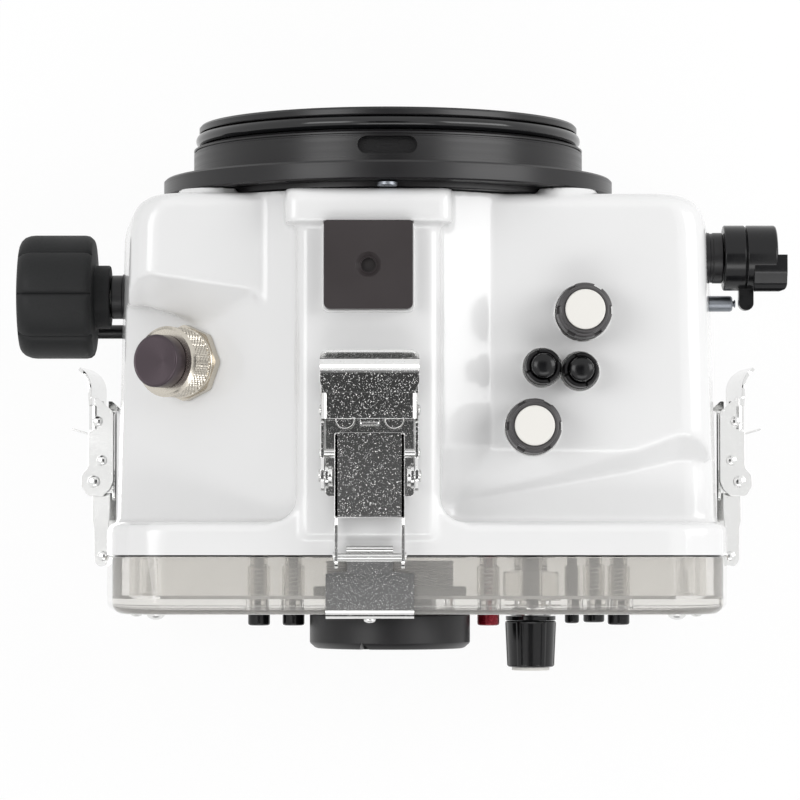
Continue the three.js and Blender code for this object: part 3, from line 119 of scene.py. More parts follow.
class HousingColours(bpy.types.PropertyGroup):
    shell: colour("Shell", "Opaque moulded body", "#ebebeb")
    clear: colour("Clear back", "Clear moulded back, with its faint warm tint", "#f3f1ed")
    anodised: colour("Anodised parts", "Port ring, glands and collars", "#151416")
    plate: colour("Accessory plate", "Anodised plate on the spine", "#2b2526")
    plastic: colour("Black plastic", "Buttons and small knobs", "#0d0d0f")
    grip: colour("Grip", "Soft coat of the large knob", "#161718")
    dial: colour("Dials", "Moulded dial knobs", "#4a4849")
    disc: colour("Discs", "Blank discs on the dials", "#e6e4df")
    steel: colour("Latches", "Pressed and polished stainless steel", "#e4e4e3")
    nickel: colour("Connector", "Nickel plate on the knurled barrel", "#c9c3b8")
    record: colour("Record button", "Deep red moulded button", "#7d0c1e")


class HousingSizes(bpy.types.PropertyGroup):
    cell: length("Moulding cell", "Size of the cells that the body is moulded from", 1.1)
    knurl: length("Knurl depth", "Depth of the diamond knurl on the connector", 0.8)
    thread: length("Thread pitch", "Pitch of the clear glands' and the eyepiece's threads", 1.1)
    spring_wire: length("Spring wire", "Wire of the button springs inside the back", 0.6)
    o_ring: length("Port seal", "Thickness of the port's seal", 4.8)
    turns: bpy.props.IntProperty(
        name="Turned steps", description="Steps round a turned part", default=96, min=24, max=256,
    )
    softening: bpy.props.IntProperty(
        name="Softening", description="Passes that round the body's moulded edges", default=5, min=0, max=60,
    )


# Mesh code. A form is a list of points in millimetres and a list of faces.

AXES = {
    "x": Matrix(((0, 0, 1, 0), (1, 0, 0, 0), (0, 1, 0, 0), (0, 0, 0, 1))),
    "y": Matrix(((1, 0, 0, 0), (0, 0, 1, 0), (0, -1, 0, 0), (0, 0, 0, 1))),
    "z": Matrix.Identity(4),
}


def at(axis, place):
    """Puts a form that is built up its own Z on an axis of the frame, at a place."""
    return Matrix.Translation(place) @ AXES[axis]


def leaned(place, degrees, axis):
    """Puts a form at a place, turned round an axis of the frame."""
    return Matrix.Translation(place) @ Matrix.Rotation(math.radians(degrees), 4, axis)


def moved(form, matrix):
    points, faces = form
    return [matrix @ Vector(p) for p in points], faces


def joined(*forms):
    points, faces = [], []
    for more_points, more_faces in forms:
        start = len(points)
        points += [Vector(p) for p in more_points]
        faces += [[start + i for i in face] for face in more_faces]
    return points, faces


def loft(rings, closed=False):
    """A skin through rings of equally many points. A closed one joins its last ring to its first."""
    count = len(rings[0])
    faces = []
    for k in range(len(rings) if closed else len(rings) - 1):
        here, there = k * count, ((k + 1) % len(rings)) * count
        faces += [
            [here + i, here + (i + 1) % count, there + (i + 1) % count, there + i] for i in range(count)
        ]
    if not closed:
        faces.append(list(range(count))[::-1])
        faces.append([(len(rings) - 1) * count + i for i in range(count)])
    return [p for ring in rings for p in ring], faces


def lathe(profile, steps, ripple=None, closed=False):
    """Turns a profile of (radius, height) round Z. ripple(turn, height) adds to the radius."""
    rings = []
    for radius, height in profile:
        ring = []
        for i in range(steps):
            turn = math.tau * i / steps
            reach = radius + (ripple(turn, height) if ripple else 0)
            ring.append((reach * math.cos(turn), reach * math.sin(turn), height))
        rings.append(ring)
    return loft(rings, closed)


def rod(radius, start, end, steps=32, edge=0.0):
    """A solid rod along Z, with its ends chamfered by edge."""
    if not edge:
        return lathe([(radius, start), (radius, end)], steps)
    return lathe([
        (radius - edge, start), (radius, start + edge), (radius, end - edge), (radius - edge, end),
    ], steps)


def dome(radius, height, start):
    """A domed head that stands on Z = start."""
    rise = [math.pi / 2 * k / 5 for k in range(5)]
    profile = [(radius * math.cos(a), start + height * math.sin(a)) for a in rise]
    return lathe(profile + [(radius * 0.05, start + height)], 24)


def torus(radius, thickness, steps, sides):
    turns = [math.tau * k / sides for k in range(sides)]
    profile = [(radius + thickness / 2 * math.cos(a), thickness / 2 * math.sin(a)) for a in turns]
    return lathe(profile, steps, closed=True)


def prism(outline, low, high):
    return loft([[(p, q, low) for p, q in outline], [(p, q, high) for p, q in outline]])


def block(x0, x1, y0, y1, z0, z1):
    return prism([(x0, y0), (x1, y0), (x1, y1), (x0, y1)], z0, z1)


def tube(path, radius, sides):
    """A round wire along a path, closed at both ends."""
    path = [Vector(p) for p in path]
    rings = []
    side = None
    for i, here in enumerate(path):
        along = (path[min(i + 1, len(path) - 1)] - path[max(i - 1, 0)]).normalized()
        if side is None:
            side = along.orthogonal().normalized()
        side = (side - along * side.dot(along)).normalized()
        across = along.cross(side)
        rings.append([
            here + radius * (math.cos(a) * side + math.sin(a) * across)
            for a in (math.tau * k / sides for k in range(sides))
        ])
    return loft(rings)


def rounded(corners, radii, steps=6):
    """An outline with its corners rounded."""
    outline = []
    if not isinstance(radii, (list, tuple)):
        radii = [radii] * len(corners)
    for i, corner in enumerate(corners):
        here = Vector(corner)
        before = (Vector(corners[i - 1]) - here).normalized()
        after = (Vector(corners[(i + 1) % len(corners)]) - here).normalized()
        if radii[i] <= 0:
            outline.append(tuple(here))
            continue
        half = math.acos(max(-1, min(1, before.dot(after)))) / 2
        reach = radii[i] / math.tan(half)
        middle = (before + after).normalized() * (radii[i] / math.sin(half))
        for step in range(steps + 1):
            spoke = (before * reach).lerp(after * reach, step / steps) - middle
            outline.append(tuple(here + middle + spoke.normalized() * radii[i]))
    return outline


def half_width(height):
    above = height > RIM["widest"]
    end, end_half = (RIM["top"], RIM["top_half"]) if above else (RIM["foot"], RIM["foot_half"])
    share = (height - RIM["widest"]) / (end - RIM["widest"])
    return RIM["half"] + (end_half - RIM["half"]) * share


def rim_outline(inset):
    """The outline of the rim seen from the rear, drawn in on every side."""
    right = [
        (half_width(RIM["foot"]) - inset, RIM["foot"] + inset),
        (RIM["half"] - inset, RIM["widest"]),
        (half_width(RIM["top"]) - inset, RIM["top"] - inset),
    ]
    radii = [RIM_ROUND["foot"] - inset, RIM_ROUND["side"], RIM_ROUND["top"] - inset]
    return rounded(right + [(-x, z) for x, z in right[::-1]], radii + radii[::-1], 8)


def upright(outline, y):
    return [(x, y, z) for x, z in outline]


def bent_sheet(path, widths, thickness, middle=0.0):
    """A strip of sheet bent along a path of (along, out), with a half width at each point."""
    rings = []
    for i, (y, v) in enumerate(path):
        ahead, behind = path[min(i + 1, len(path) - 1)], path[max(i - 1, 0)]
        run = Vector((ahead[0] - behind[0], ahead[1] - behind[1])).normalized()
        off = Vector((-run.y, run.x)) * (thickness / 2)
        wide = widths[i]
        rings.append([
            (middle - wide, y - off.x, v - off.y), (middle + wide, y - off.x, v - off.y),
            (middle + wide, y + off.x, v + off.y), (middle - wide, y + off.x, v + off.y),
        ])
    return loft(rings)


def bend(corners, radii, steps=5):
    """An open path with its inner corners rounded."""
    path = [corners[0]]
    for i in range(1, len(corners) - 1):
        part = rounded([corners[i - 1], corners[i], corners[i + 1]], [0, radii[i - 1], 0], steps)
        path += part[1:-1]
    return path + [corners[-1]]


# Pieces

def settle(obj):
    """Applies an object's modifiers to its mesh."""
    solid = bpy.data.meshes.new_from_object(obj.evaluated_get(bpy.context.evaluated_depsgraph_get()))
    obj.modifiers.clear()
    spent, obj.data = obj.data, solid
    bpy.data.meshes.remove(spent)


def raw(name, form):
    mesh = bpy.data.meshes.new(name)
    points, faces = form
    mesh.from_pydata([Vector(p) * MM for p in points], [], faces)
    made = bmesh.new()
    made.from_mesh(mesh)
    bmesh.ops.recalc_face_normals(made, faces=made.faces)
    made.to_mesh(mesh)
    made.free()
    obj = bpy.data.objects.new(name, mesh)
    bpy.context.scene.collection.objects.link(obj)
    return obj


def carve(obj, forms, way="DIFFERENCE"):
    """Cuts each form out of an object, or joins it on."""
    tools = [raw("tool", form) for form in forms]
    for tool in tools:
        cutter = obj.modifiers.new("cut", "BOOLEAN")
        cutter.solver = "MANIFOLD"
        cutter.operation = way
        cutter.object = tool
    settle(obj)
    for tool in tools:
        spent = tool.data
        bpy.data.objects.remove(tool)
        bpy.data.meshes.remove(spent)


def dress(obj, made_of, stands_for=(), body=None, edge=0.0, sharp=35, steps=2):
    """Rounds a piece's edges, gives it its finish and puts it on its body."""
    if edge:
        chamfer = obj.modifiers.new("edges", "BEVEL")
        chamfer.width = edge * MM
        chamfer.segments = steps
        chamfer.limit_method = "ANGLE"
        chamfer.angle_limit = math.radians(38)
        chamfer.use_clamp_overlap = True
        settle(obj)
    obj.data.materials.clear()
    obj.data.materials.append(finish(made_of))
    obj.data.shade_smooth()
    obj.data.set_sharp_from_angle(angle=math.radians(sharp))
    evened = obj.modifiers.new("even", "WEIGHTED_NORMAL")
    evened.keep_sharp = True
    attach(obj, body or BODY_OF[stands_for[0]])
    if stands_for:
        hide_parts(*stands_for)
    return obj


def piece(name, form, made_of, stands_for=(), cuts=(), **rest):
    obj = raw(name, form)
    if cuts:
        carve(obj, cuts)
    return dress(obj, made_of, stands_for, **rest)


def lathed(name, profile, place, made_of, stands_for=(), steps=48, ripple=None, closed=False, **rest):
    """A piece turned from a profile round the Z of its place."""
    return piece(name, moved(lathe(profile, steps, ripple, closed), place), made_of, stands_for, **rest)


def recast(node, made_of, edge):
    """A copy of a node's own shape with its edges eased."""
    return dress(welded_copy(node, node + "_eased"), made_of, [node], edge=edge, sharp=30)


def welded_copy(node, name):
    made = bmesh.new()
    made.from_mesh(frame["nodes"][node].data)
    bmesh.ops.remove_doubles(made, verts=made.verts, dist=MM * MM)
    bmesh.ops.dissolve_limit(made, angle_limit=math.radians(0.5), verts=made.verts, edges=made.edges)
    mesh = bpy.data.meshes.new(name)
    made.to_mesh(mesh)
    made.free()
    obj = bpy.data.objects.new(name, mesh)
    bpy.context.scene.collection.objects.link(obj)
    return obj


# Finishes

def add_node(tree, kind, inputs=(), **settings):
    """Adds a node with its settings, its constants and its links."""
    made = tree.nodes.new(kind)
    for key, value in settings.items():
        setattr(made, key, value)
    for socket, value in dict(inputs).items():
        if isinstance(value, bpy.types.NodeSocket):
            tree.links.new(value, made.inputs[socket])
        else:
            made.inputs[socket].default_value = value
    return made


def round_axis(tree, place, middle):
    """Coordinates that run out from an axis along Y and along it, for lathe lines."""
    vector_math = "ShaderNodeVectorMath"
    from_axis = add_node(tree, vector_math, {0: place, 1: [c * MM for c in middle]}, operation="SUBTRACT")
    flat = add_node(tree, vector_math, {0: from_axis.outputs[0], 1: (1, 0, 1)}, operation="MULTIPLY")
    reach = add_node(tree, vector_math, {0: flat.outputs[0]}, operation="LENGTH")
    height = add_node(tree, "ShaderNodeSeparateXYZ", {0: from_axis.outputs[0]})
    both = {0: reach.outputs["Value"], 1: height.outputs[1]}
    return add_node(tree, "ShaderNodeCombineXYZ", both).outputs[0]


def surface(
    name, hue, metallic=0.0, rough=(0.4, 0.5), grain=1.0, depth=0.0, mottle=0.0, turned=None, pitted=False,
    shader=(),
):
    """A finish with its grain in millimetres: the grain moves the roughness, the tint and a small bump, which
    keeps only the grain's peaks where the surface is pitted."""
    made = bpy.data.materials.new(name)
    made.use_nodes = True
    tree = made.node_tree
    base = tree.nodes["Principled BSDF"]
    place = add_node(tree, "ShaderNodeTexCoord").outputs["Object"]
    if turned:
        place = round_axis(tree, place, turned)
    fine = add_node(tree, "ShaderNodeTexNoise", {"Vector": place, "Scale": 1 / (grain * MM), "Detail": 4.0})
    broad = add_node(tree, "ShaderNodeTexNoise", {"Vector": place, "Scale": 1 / (25 * MM), "Detail": 2.0})
    both = add_node(
        tree, "ShaderNodeMath", {0: fine.outputs[0], 1: broad.outputs[0]}, operation="MULTIPLY",
    )
    tint = add_node(
        tree, "ShaderNodeMix",
        {
            0: broad.outputs[0],
            6: (*[c * (1 - mottle) for c in hue], 1),
            7: (*[min(1, c * (1 + mottle)) for c in hue], 1),
        },
        data_type="RGBA",
    )
    polish = add_node(
        tree, "ShaderNodeMapRange",
        {"Value": both.outputs[0], "From Min": 0.1, "From Max": 0.4, "To Min": rough[0], "To Max": rough[1]},
    )
    tree.links.new(tint.outputs[2], base.inputs["Base Color"])
    tree.links.new(polish.outputs[0], base.inputs["Roughness"])
    base.inputs["Metallic"].default_value = metallic
    for socket, value in dict(shader).items():
        base.inputs[socket].default_value = value
    if depth:
        height = fine
        if pitted:
            height = add_node(
                tree, "ShaderNodeMapRange", {"Value": fine.outputs[0], "From Min": 0.64, "From Max": 0.7},
            )
        bump = add_node(
            tree, "ShaderNodeBump", {"Height": height.outputs[0], "Distance": depth * MM, "Strength": 1.0},
        )
        tree.links.new(bump.outputs[0], base.inputs["Normal"])
    return made


# Each finish as its slot, its colour and its surface's settings, with what it gives the eye
FINISHES = {
    # Polycarbonate blend, injection moulded in a polished tool: deep even gloss with the faintest waviness
    "glossy shell": ("white_shell", "shell", dict(
        rough=(0.12, 0.2), grain=6, depth=0.004, mottle=0.01,
        shader={"IOR": 1.5, "Coat Weight": 0.25, "Coat Roughness": 0.06},
    )),
    # Clear polycarbonate, moulded and polished: colourless on the flat, warm grey where one looks along it
    "clear back": ("clear_polycarbonate", "clear", dict(
        rough=(0.02, 0.05), grain=10, depth=0.002, mottle=0.01,
        shader={"IOR": 1.4, "Transmission Weight": 0.8},
    )),
    # The same polycarbonate, turned and threaded: the tool marks scatter a little light
    "clear gland": ("clear_polycarbonate", "clear", dict(
        rough=(0.06, 0.14), grain=0.8, depth=0.006, mottle=0.02,
        shader={"IOR": 1.3, "Transmission Weight": 0.9},
    )),
    # Black anodised aluminium, bead blasted: satin, with a fine dry grain
    "black anodised": ("black_anodised", "anodised", dict(
        rough=(0.3, 0.42), grain=0.35, depth=0.006, mottle=0.12, shader={"IOR": 1.45},
    )),
    # The same finish over lathe lines: the highlights spread across rings as fine as 0.25 mm
    "turned anodised": ("black_anodised", "anodised", dict(
        rough=(0.24, 0.4), grain=0.25, depth=0.006, mottle=0.12, turned=(PORT["x"], 0, PORT["z"]),
        shader={"IOR": 1.45},
    )),
    # Anodised aluminium plate with the brown cast of a worn dye, fine blasted
    "plate anodised": ("black_anodised", "plate", dict(
        rough=(0.36, 0.46), grain=0.3, depth=0.008, mottle=0.08, shader={"IOR": 1.5},
    )),
    # Anodised cap faced on a lathe: rings across its end catch the light as a soft circular sheen
    "cap anodised": ("black_anodised", "#4f464b", dict(
        metallic=0.8, rough=(0.26, 0.4), grain=0.4, depth=0.004, mottle=0.1, shader={"Anisotropic": 0.6},
    )),
    # Moulded acetal: slippery smooth black with a soft sheen
    "black plastic": ("black_plastic", "plastic", dict(
        rough=(0.14, 0.24), grain=3, depth=0.002, mottle=0.1, shader={"IOR": 1.42},
    )),
    # Rubber-coated knob: matt charcoal, grained by the spark-eroded mould at about half a millimetre
    "soft grip": ("grip_rubber", "grip", dict(
        rough=(0.5, 0.68), grain=0.5, depth=0.03, mottle=0.18, shader={"IOR": 1.4},
    )),
    # Greased nitrile rubber: wet black gloss
    "seal rubber": ("seal_rubber", "plastic", dict(
        rough=(0.1, 0.2), grain=2, depth=0.003, mottle=0.1, shader={"IOR": 1.52},
    )),
    # Glass-filled nylon, moulded: dull dark grey
    "dial plastic": ("grey_plastic", "dial", dict(
        rough=(0.38, 0.5), grain=0.4, depth=0.01, mottle=0.1, shader={"IOR": 1.52},
    )),
    # Printed vinyl disc, left blank: flat warm off-white with a fibrous tooth
    "blank disc": ("cream_plastic", "disc", dict(rough=(0.5, 0.65), grain=0.3, depth=0.005, mottle=0.02)),
    # Stainless steel sheet, pressed and tumbled: mirror bright, with sparse pits that sparkle
    "polished steel": ("stainless", "steel", dict(
        metallic=1.0, rough=(0.05, 0.13), grain=0.4, depth=0.04, mottle=0.06, pitted=True,
    )),
    # Turned stainless rod and screw heads: bright, with a finer softer polish than the sheet
    "turned steel": ("shaft_steel", "steel", dict(
        metallic=1.0, rough=(0.14, 0.26), grain=0.4, depth=0.005, mottle=0.05,
    )),
    # Stainless pin and post, blasted: grey with a cool dull sheen
    "satin steel": ("shaft_steel", "#8e9298", dict(
        metallic=1.0, rough=(0.34, 0.44), grain=0.4, depth=0.005, mottle=0.06,
    )),
    # Bright nickel over brass: warm silver with softened crests
    "nickel plate": ("nickel", "nickel", dict(
        metallic=1.0, rough=(0.16, 0.3), grain=0.5, depth=0.006, mottle=0.08,
    )),
    # Milled aluminium with a clear anodised coat: pale grey satin
    "natural aluminium": ("tray_aluminium", "#b9bbbe", dict(
        metallic=0.9, rough=(0.34, 0.46), grain=0.4, depth=0.006, mottle=0.05,
    )),
    # Dyed anodised button cap: deep clear red over bright metal
    "red button": ("red_plastic", "record", dict(
        metallic=0.5, rough=(0.2, 0.3), grain=1, depth=0.003, mottle=0.08,
    )),
    # Flat optical window: colourless and smooth
    "lens glass": ("lens_glass", "#f1f6f6", dict(
        rough=(0.01, 0.02), grain=20, mottle=0.005, shader={"IOR": 1.5, "Transmission Weight": 1.0},
    )),
}


def finish(name):
    _, hue, settings = FINISHES[name]
    chosen = linear(hue) if hue.startswith("#") else getattr(bpy.context.scene.housing_colours, hue)
    return bpy.data.materials.get(name) or surface(name, chosen, **settings)


# Body

def filled(axis, radius, place, side):
    """A plug flush with the wall round a hole, for the moulding to run over. It looks in from that side."""
    node = frame["nodes"]["housing_body"]
    toward = AXES[axis] @ Vector((0, 0, -side))
    steps = 24
    outer, inner = [], []
    for i in range(steps):
        turn = math.tau * i / steps
        spot = at(axis, place) @ Vector((radius * math.cos(turn), radius * math.sin(turn), 0))
        start = spot - toward * OUTSIDE
        hit, point, _, _ = node.ray_cast(start * MM, toward)
        if not hit:
            raise RuntimeError(f"no wall round the hole at {place}")
        outer.append(point / MM + toward * 0.02)
        inner.append(point / MM + toward * PLUG_DEPTH)
    return loft([outer, inner])


def body_holes():
    """Control holes as (axis, radius, place, side that the wall is seen from)."""
    holes = [
        ("x", 8.6, ZOOM, -1),
        ("x", 4.7, RELEASE, -1),
        ("x", 9.6, SHUTTER, 1),
    ]
    holes += [("z", 5.9, (x, y, 0), 1) for x, y in DIALS.values()]
    holes += [("z", 4.7, (x, y, 0), 1) for x, y in DECK_BUTTONS.values()]
    return holes


def mould_body(sizes):
    """The body with its edges eased, moulded past its rim and over its holes, which are then cut crisp."""
    obj = welded_copy("housing_body", "body_moulding")
    plugs = [filled(axis, radius + 0.6, place, side) for axis, radius, place, side in body_holes()]
    carve(obj, plugs, "UNION")
    carve(obj, [block(PLATE["left"] - 1, PLATE["right"] + 1, PLATE["rear"] - 1, 53.4, SPINE_TOP, 171)])
    for vertex in obj.data.vertices:
        if vertex.co.y < (RIM_REAR + 0.05) * MM:
            vertex.co.y -= OVERRUN * MM
    mould = obj.modifiers.new("mould", "REMESH")
    mould.mode = "VOXEL"
    mould.voxel_size = sizes.cell
    soften = obj.modifiers.new("soften", "SMOOTH")
    soften.factor = 0.5
    soften.iterations = sizes.softening
    settle(obj)
    bores = []
    for axis, radius, place, side in body_holes():
        span = sorted((side * 70, side * 190))
        bores.append(moved(rod(radius, *span, steps=64), at(axis, place)))
    recess = block(
        PLATE["left"] - 0.3, PLATE["right"] + 0.3, PLATE["rear"] - 0.3, PLATE["front"] + 0.3,
        SPINE_TOP + 0.02, 171,
    )
    carve(obj, [block(-140, 140, -90, RIM_REAR, -20, 190), recess, *bores])
    return obj


class HOUSING_OT_body(bpy.types.Operator):
    """Mould the white body with its rounded edges and crisp holes"""
    bl_idname = "housing.body"
    bl_label = "Body"

    def execute(self, context):
        dress(mould_body(context.scene.housing_sizes), "glossy shell", ["housing_body"], sharp=38)
        left, right, rear = PLATE["left"] - 0.8, PLATE["right"] + 0.8, PLATE["rear"] - 0.8
        outline = rounded([(left, rear), (right, rear), (right, 54), (left, 54)], 2.4)
        seat = prism(outline, SPINE_TOP - 1.5, SPINE_TOP + 2)
        piece("plate_seat", seat, "glossy shell", body="housing", edge=0.5, steps=3)
        return {"FINISHED"}


# Port

def stadium(long, wide, steps=10):
    reach = (long - wide) / 2
    ends = [(reach, -math.pi / 2), (-reach, math.pi / 2)]
    turns = [(middle, start + math.pi * k / steps) for middle, start in ends for k in range(steps + 1)]
    return [(middle + wide / 2 * math.cos(turn), wide / 2 * math.sin(turn)) for middle, turn in turns]


class HOUSING_OT_port(bpy.types.Operator):
    """Turn the port's mounting ring and fit its seal and its index pin"""
    bl_idname = "housing.port"
    bl_label = "Port"

    def execute(self, context):
        sizes = context.scene.housing_sizes
        steps = sizes.turns * 2
        axis = (PORT["x"], 0, PORT["z"])
        profile = [
            (62, 62.6), (65.7, 62.6), (65.7, 66.4), (73.6, 66.4), (74, 66.8), (74, 68.5), (83.5, 68.5),
            (84.1, 69.1), (84.1, 74.6), (83.4, 75.3), (74.2, 75.3), (73.5, 75.6), (72.9, 76.3), (72.9, 85.2),
            (72.3, 85.4), (72.3, 85.9), (72.9, 86.1), (72.9, 86.7), (72.3, 87.1), (70.9, 87.3), (70.7, 87.6),
            (67.2, 87.6), (67.2, 93), (70.7, 93), (70.9, 93.3), (70.9, 95), (70.2, 95.8), (63, 95.8),
            (62.4, 95.2), (62.4, 91), (62, 90.6),
        ]
        pocket = moved(prism(stadium(21.4, 6.3), 68.6, 76), Matrix.Translation((0, 81.9, 0)))
        slots = [moved(pocket, leaned(axis, 120 * k, "Y")) for k in range(3)]
        lathed(
            "port_ring_turned", profile, at("y", axis), "turned anodised", ["port_mount_ring"], steps=steps,
            closed=True, cuts=slots, sharp=30,
        )
        seal = moved(torus(69.75, sizes.o_ring / MM, steps, 18), at("y", (PORT["x"], 90.3, PORT["z"])))
        piece("port_seal", seal, "seal rubber", ["port_o_ring"])
        pin = joined(rod(3.7, 66.4, 68.2, 32, 0.4), rod(2.2, 67.8, 68.45, 24, 0.2))
        pin = moved(pin, at("y", (PORT["x"], 0, 166)))
        piece("index_pin", pin, "satin steel", ["port_index_pin"])
        return {"FINISHED"}


# Plates

class HOUSING_OT_plates(bpy.types.Operator):
    """Make the accessory plate, the base plate, the camera tray and its screw"""
    bl_idname = "housing.plates"
    bl_label = "Plates"

    def execute(self, context):
        low, high = SPINE_TOP + 2.3, SPINE_TOP + 8.3
        left, right, rear, front = (PLATE[side] for side in ("left", "right", "rear", "front"))
        outline = rounded([(left, rear), (right, rear), (right, front), (left, front)], [2.2, 2.2, 1.2, 1.2])
        ring = torus(2.75, 0.7, 32, 6)
        groove = [moved(ring, Matrix.Translation((0, 0, low + 0.9 * k))) for k in range(2, 6)]
        mouth = lathe([(2.55, high - 2), (4.7, high + 0.15), (4.7, high + 1)], 40)
        bore = [rod(2.6, low + 0.8, high + 1, 40), mouth, *groove]
        hole = Matrix.Translation(((left + right) / 2, (rear + front) / 2, 0))
        piece(
            "accessory_plate_milled", prism(outline, low, high), "plate anodised", ["accessory_plate"],
            cuts=[moved(tool, hole) for tool in bore], edge=0.6, steps=3,
        )
        recast("base_plate", "black anodised", 0.6)
        recast("camera_tray", "natural aluminium", 0.5)
        recast("camera_screw", "turned steel", 0.3)
        return {"FINISHED"}


# Clear back

def spring(radius, wire, start, end, pitch):
    turns = (end - start) / pitch
    count = int(turns * 14)
    path = [
        (radius * math.cos(math.tau * turns * k / count), radius * math.sin(math.tau * turns * k / count),
         start + (end - start) * k / count)
        for k in range(count + 1)
    ]
    return tube(path, wire / 2, 6)


def threaded(radius, start, end, pitch, depth, bore):
    """A hollow turned tube with a thread cut on its outside."""
    rings = int((end - start) / pitch)
    outside = []
    for k in range(rings):
        foot = start + pitch * k
        outside += [(radius - depth, foot), (radius, foot + pitch * 0.5)]
    return [(bore, start), *outside, (radius - depth, end), (bore, end)]


class HOUSING_OT_back(bpy.types.Operator):
    """Mould the clear back, with its gasket, the glands and springs behind it and its screws"""
    bl_idname = "housing.back"
    bl_label = "Clear back"

    def execute(self, context):
        sizes = context.scene.housing_sizes
        rings = []
        for step in range(7):
            turn = math.pi / 2 * step / 6
            rings.append(upright(rim_outline(4 * (1 - math.sin(turn))), BACK_REAR + 4 * (1 - math.cos(turn))))
        rings += [upright(rim_outline(0), BACK_FRONT), upright(rim_outline(0.3), BACK_FRONT + 0.3)]
        hollow = [
            upright(rim_outline(BACK_WALL + 1.2), BACK_REAR + BACK_WALL),
            upright(rim_outline(BACK_WALL), BACK_REAR + BACK_WALL + 1.2),
            upright(rim_outline(BACK_WALL), BACK_FRONT + 2),
        ]
        through = (BACK_REAR - 2, -78)
        holes = [
            moved(rod(radius + 0.3, *through, 40), at("y", (x, 0, z)))
            for x, z, radius in REAR_BUTTONS.values()
        ]
        holes.append(moved(rod(6.9, *through, 40), at("y", WHEEL)))
        holes.append(moved(rod(23.7, *through, 96), at("y", (EYEPIECE["x"], 0, EYEPIECE["z"]))))
        obj = raw("back_moulding", loft(rings))
        carve(obj, [loft(hollow), *holes])
        dress(obj, "clear back", ["clear_back"], sharp=28)
        gasket = [upright(rim_outline(0.9), y) for y in (-64.7, -65.2)]
        gasket_inner = [upright(rim_outline(4.6), y) for y in (-60, -70)]
        piece("main_seal", loft(gasket), "seal rubber", ["main_gasket"], cuts=[loft(gasket_inner)])
        self.glands(sizes)
        return {"FINISHED"}

    def glands(self, sizes):
        pitch = sizes.thread / MM
        inside = BACK_REAR + BACK_WALL
        for name, (x, z, radius) in REAR_BUTTONS.items():
            wide = radius + 0.15
            lathed(f"{name}_gland", [
                (wide - 1.2, inside - 1), (wide, inside - 1), (wide, -69), (wide - 0.4, -68.6),
                (wide - 1, -68.5), (wide - 1, -64.9), (wide - 1.3, -64.5), (wide - 1.9, -64.5),
                (wide - 1.9, -68), (wide - 1.2, -69),
            ], at("y", (x, 0, z)), "clear gland", steps=40, closed=True, body="back", sharp=30)
            coil = spring(wide - 1.55, sizes.spring_wire / MM, inside, -69.2, pitch * 1.4)
            piece(f"{name}_spring", moved(coil, at("y", (x, 0, z))), "turned steel", body="back")
        wheel = joined(
            lathe([
                (3.4, inside - 1), (10.4, inside - 1), (10.4, -71.4), (9.8, -70.8), (3.4, -70.8),
            ], 48, closed=True),
            lathe(threaded(6.4, -70.8, -63, pitch, 0.5, 3.4), 48, closed=True),
        )
        piece("wheel_gland", moved(wheel, at("y", WHEEL)), "clear gland", body="back", sharp=20)
        for name, x in (("back_stud_left", -97.1), ("back_stud_right", 96.5)):
            head = joined(rod(3.45, -0.6, 0.9, 24), dome(3.4, 2.1, 0.9))
            piece(name, moved(head, leaned((x, BACK_REAR, 100), 90, "X")), "turned steel", body="back")


# Eyepiece

class HOUSING_OT_eyepiece(bpy.types.Operator):
    """Turn the eyepiece ring with its threaded barrel, its window and its nut"""
    bl_idname = "housing.eyepiece"
    bl_label = "Eyepiece"

    def execute(self, context):
        sizes = context.scene.housing_sizes
        pitch = sizes.thread / MM * 0.9
        axis = at("y", (EYEPIECE["x"], 0, EYEPIECE["z"]))
        thread = []
        count = int((-67.2 + 79.8) / pitch)
        for k in range(count):
            foot = -79.8 + pitch * k
            thread += [(23.4, foot), (22.9, foot + pitch / 2)]
        profile = [
            (20.8, -98.6), (26.6, -98.6), (27.4, -98.3), (29, -96.9), (29.3, -96.3), (29.3, -86.7),
            (28.9, -86.1), (23.4, -86.1), *thread, (23.4, -67.2), (22.9, -66.8), (18.4, -66.8),
            (18, -67.2), (18, -90.6), (20.7, -90.6),
        ]
        vee = moved(prism([(-1.9, 0), (1.9, 0), (0, 3)], 22.5, 34), Matrix.Translation((0, -98.7, 0)))
        turned_aside = leaned((EYEPIECE["x"], 0, EYEPIECE["z"]), -19.6, "Y")
        lathed(
            "eyepiece_turned", profile, axis, "black anodised", ["eyepiece_ring"], steps=sizes.turns,
            closed=True, cuts=[moved(vee, turned_aside)], sharp=25,
        )
        window = moved(rod(20.4, -94.5, -90.9, sizes.turns, 0.3), axis)
        piece("eyepiece_window", window, "lens glass", ["eyepiece_glass"])
        lathed("eyepiece_lock_nut", [
            (23.8, -79.9), (27.6, -79.9), (28, -79.5), (28, -76.4), (27.6, -76), (23.8, -76),
        ], axis, "black plastic", ["eyepiece_nut"], steps=96, closed=True, sharp=25)
        return {"FINISHED"}


# Controls on the back

def grooved(count, depth, low, high):
    """A ripple of broad lobes with one thin groove between each two, the first at the axis' first side."""
    def ripple(turn, height):
        return -depth * (1 - abs(math.sin(turn * count / 2)) ** 0.35) if low <= height <= high else 0
    return ripple


def ribbed(count, rise, share, low, high):
    """Low ribs that take this share of the way round, over a plain side."""
    def ripple(turn, height):
        off = abs((turn * count / math.tau + 0.5) % 1 - 0.5) * 2
        return rise * (max(0, min(1, (share - off) / 0.12)) - 1) if low <= height <= high else 0
    return ripple


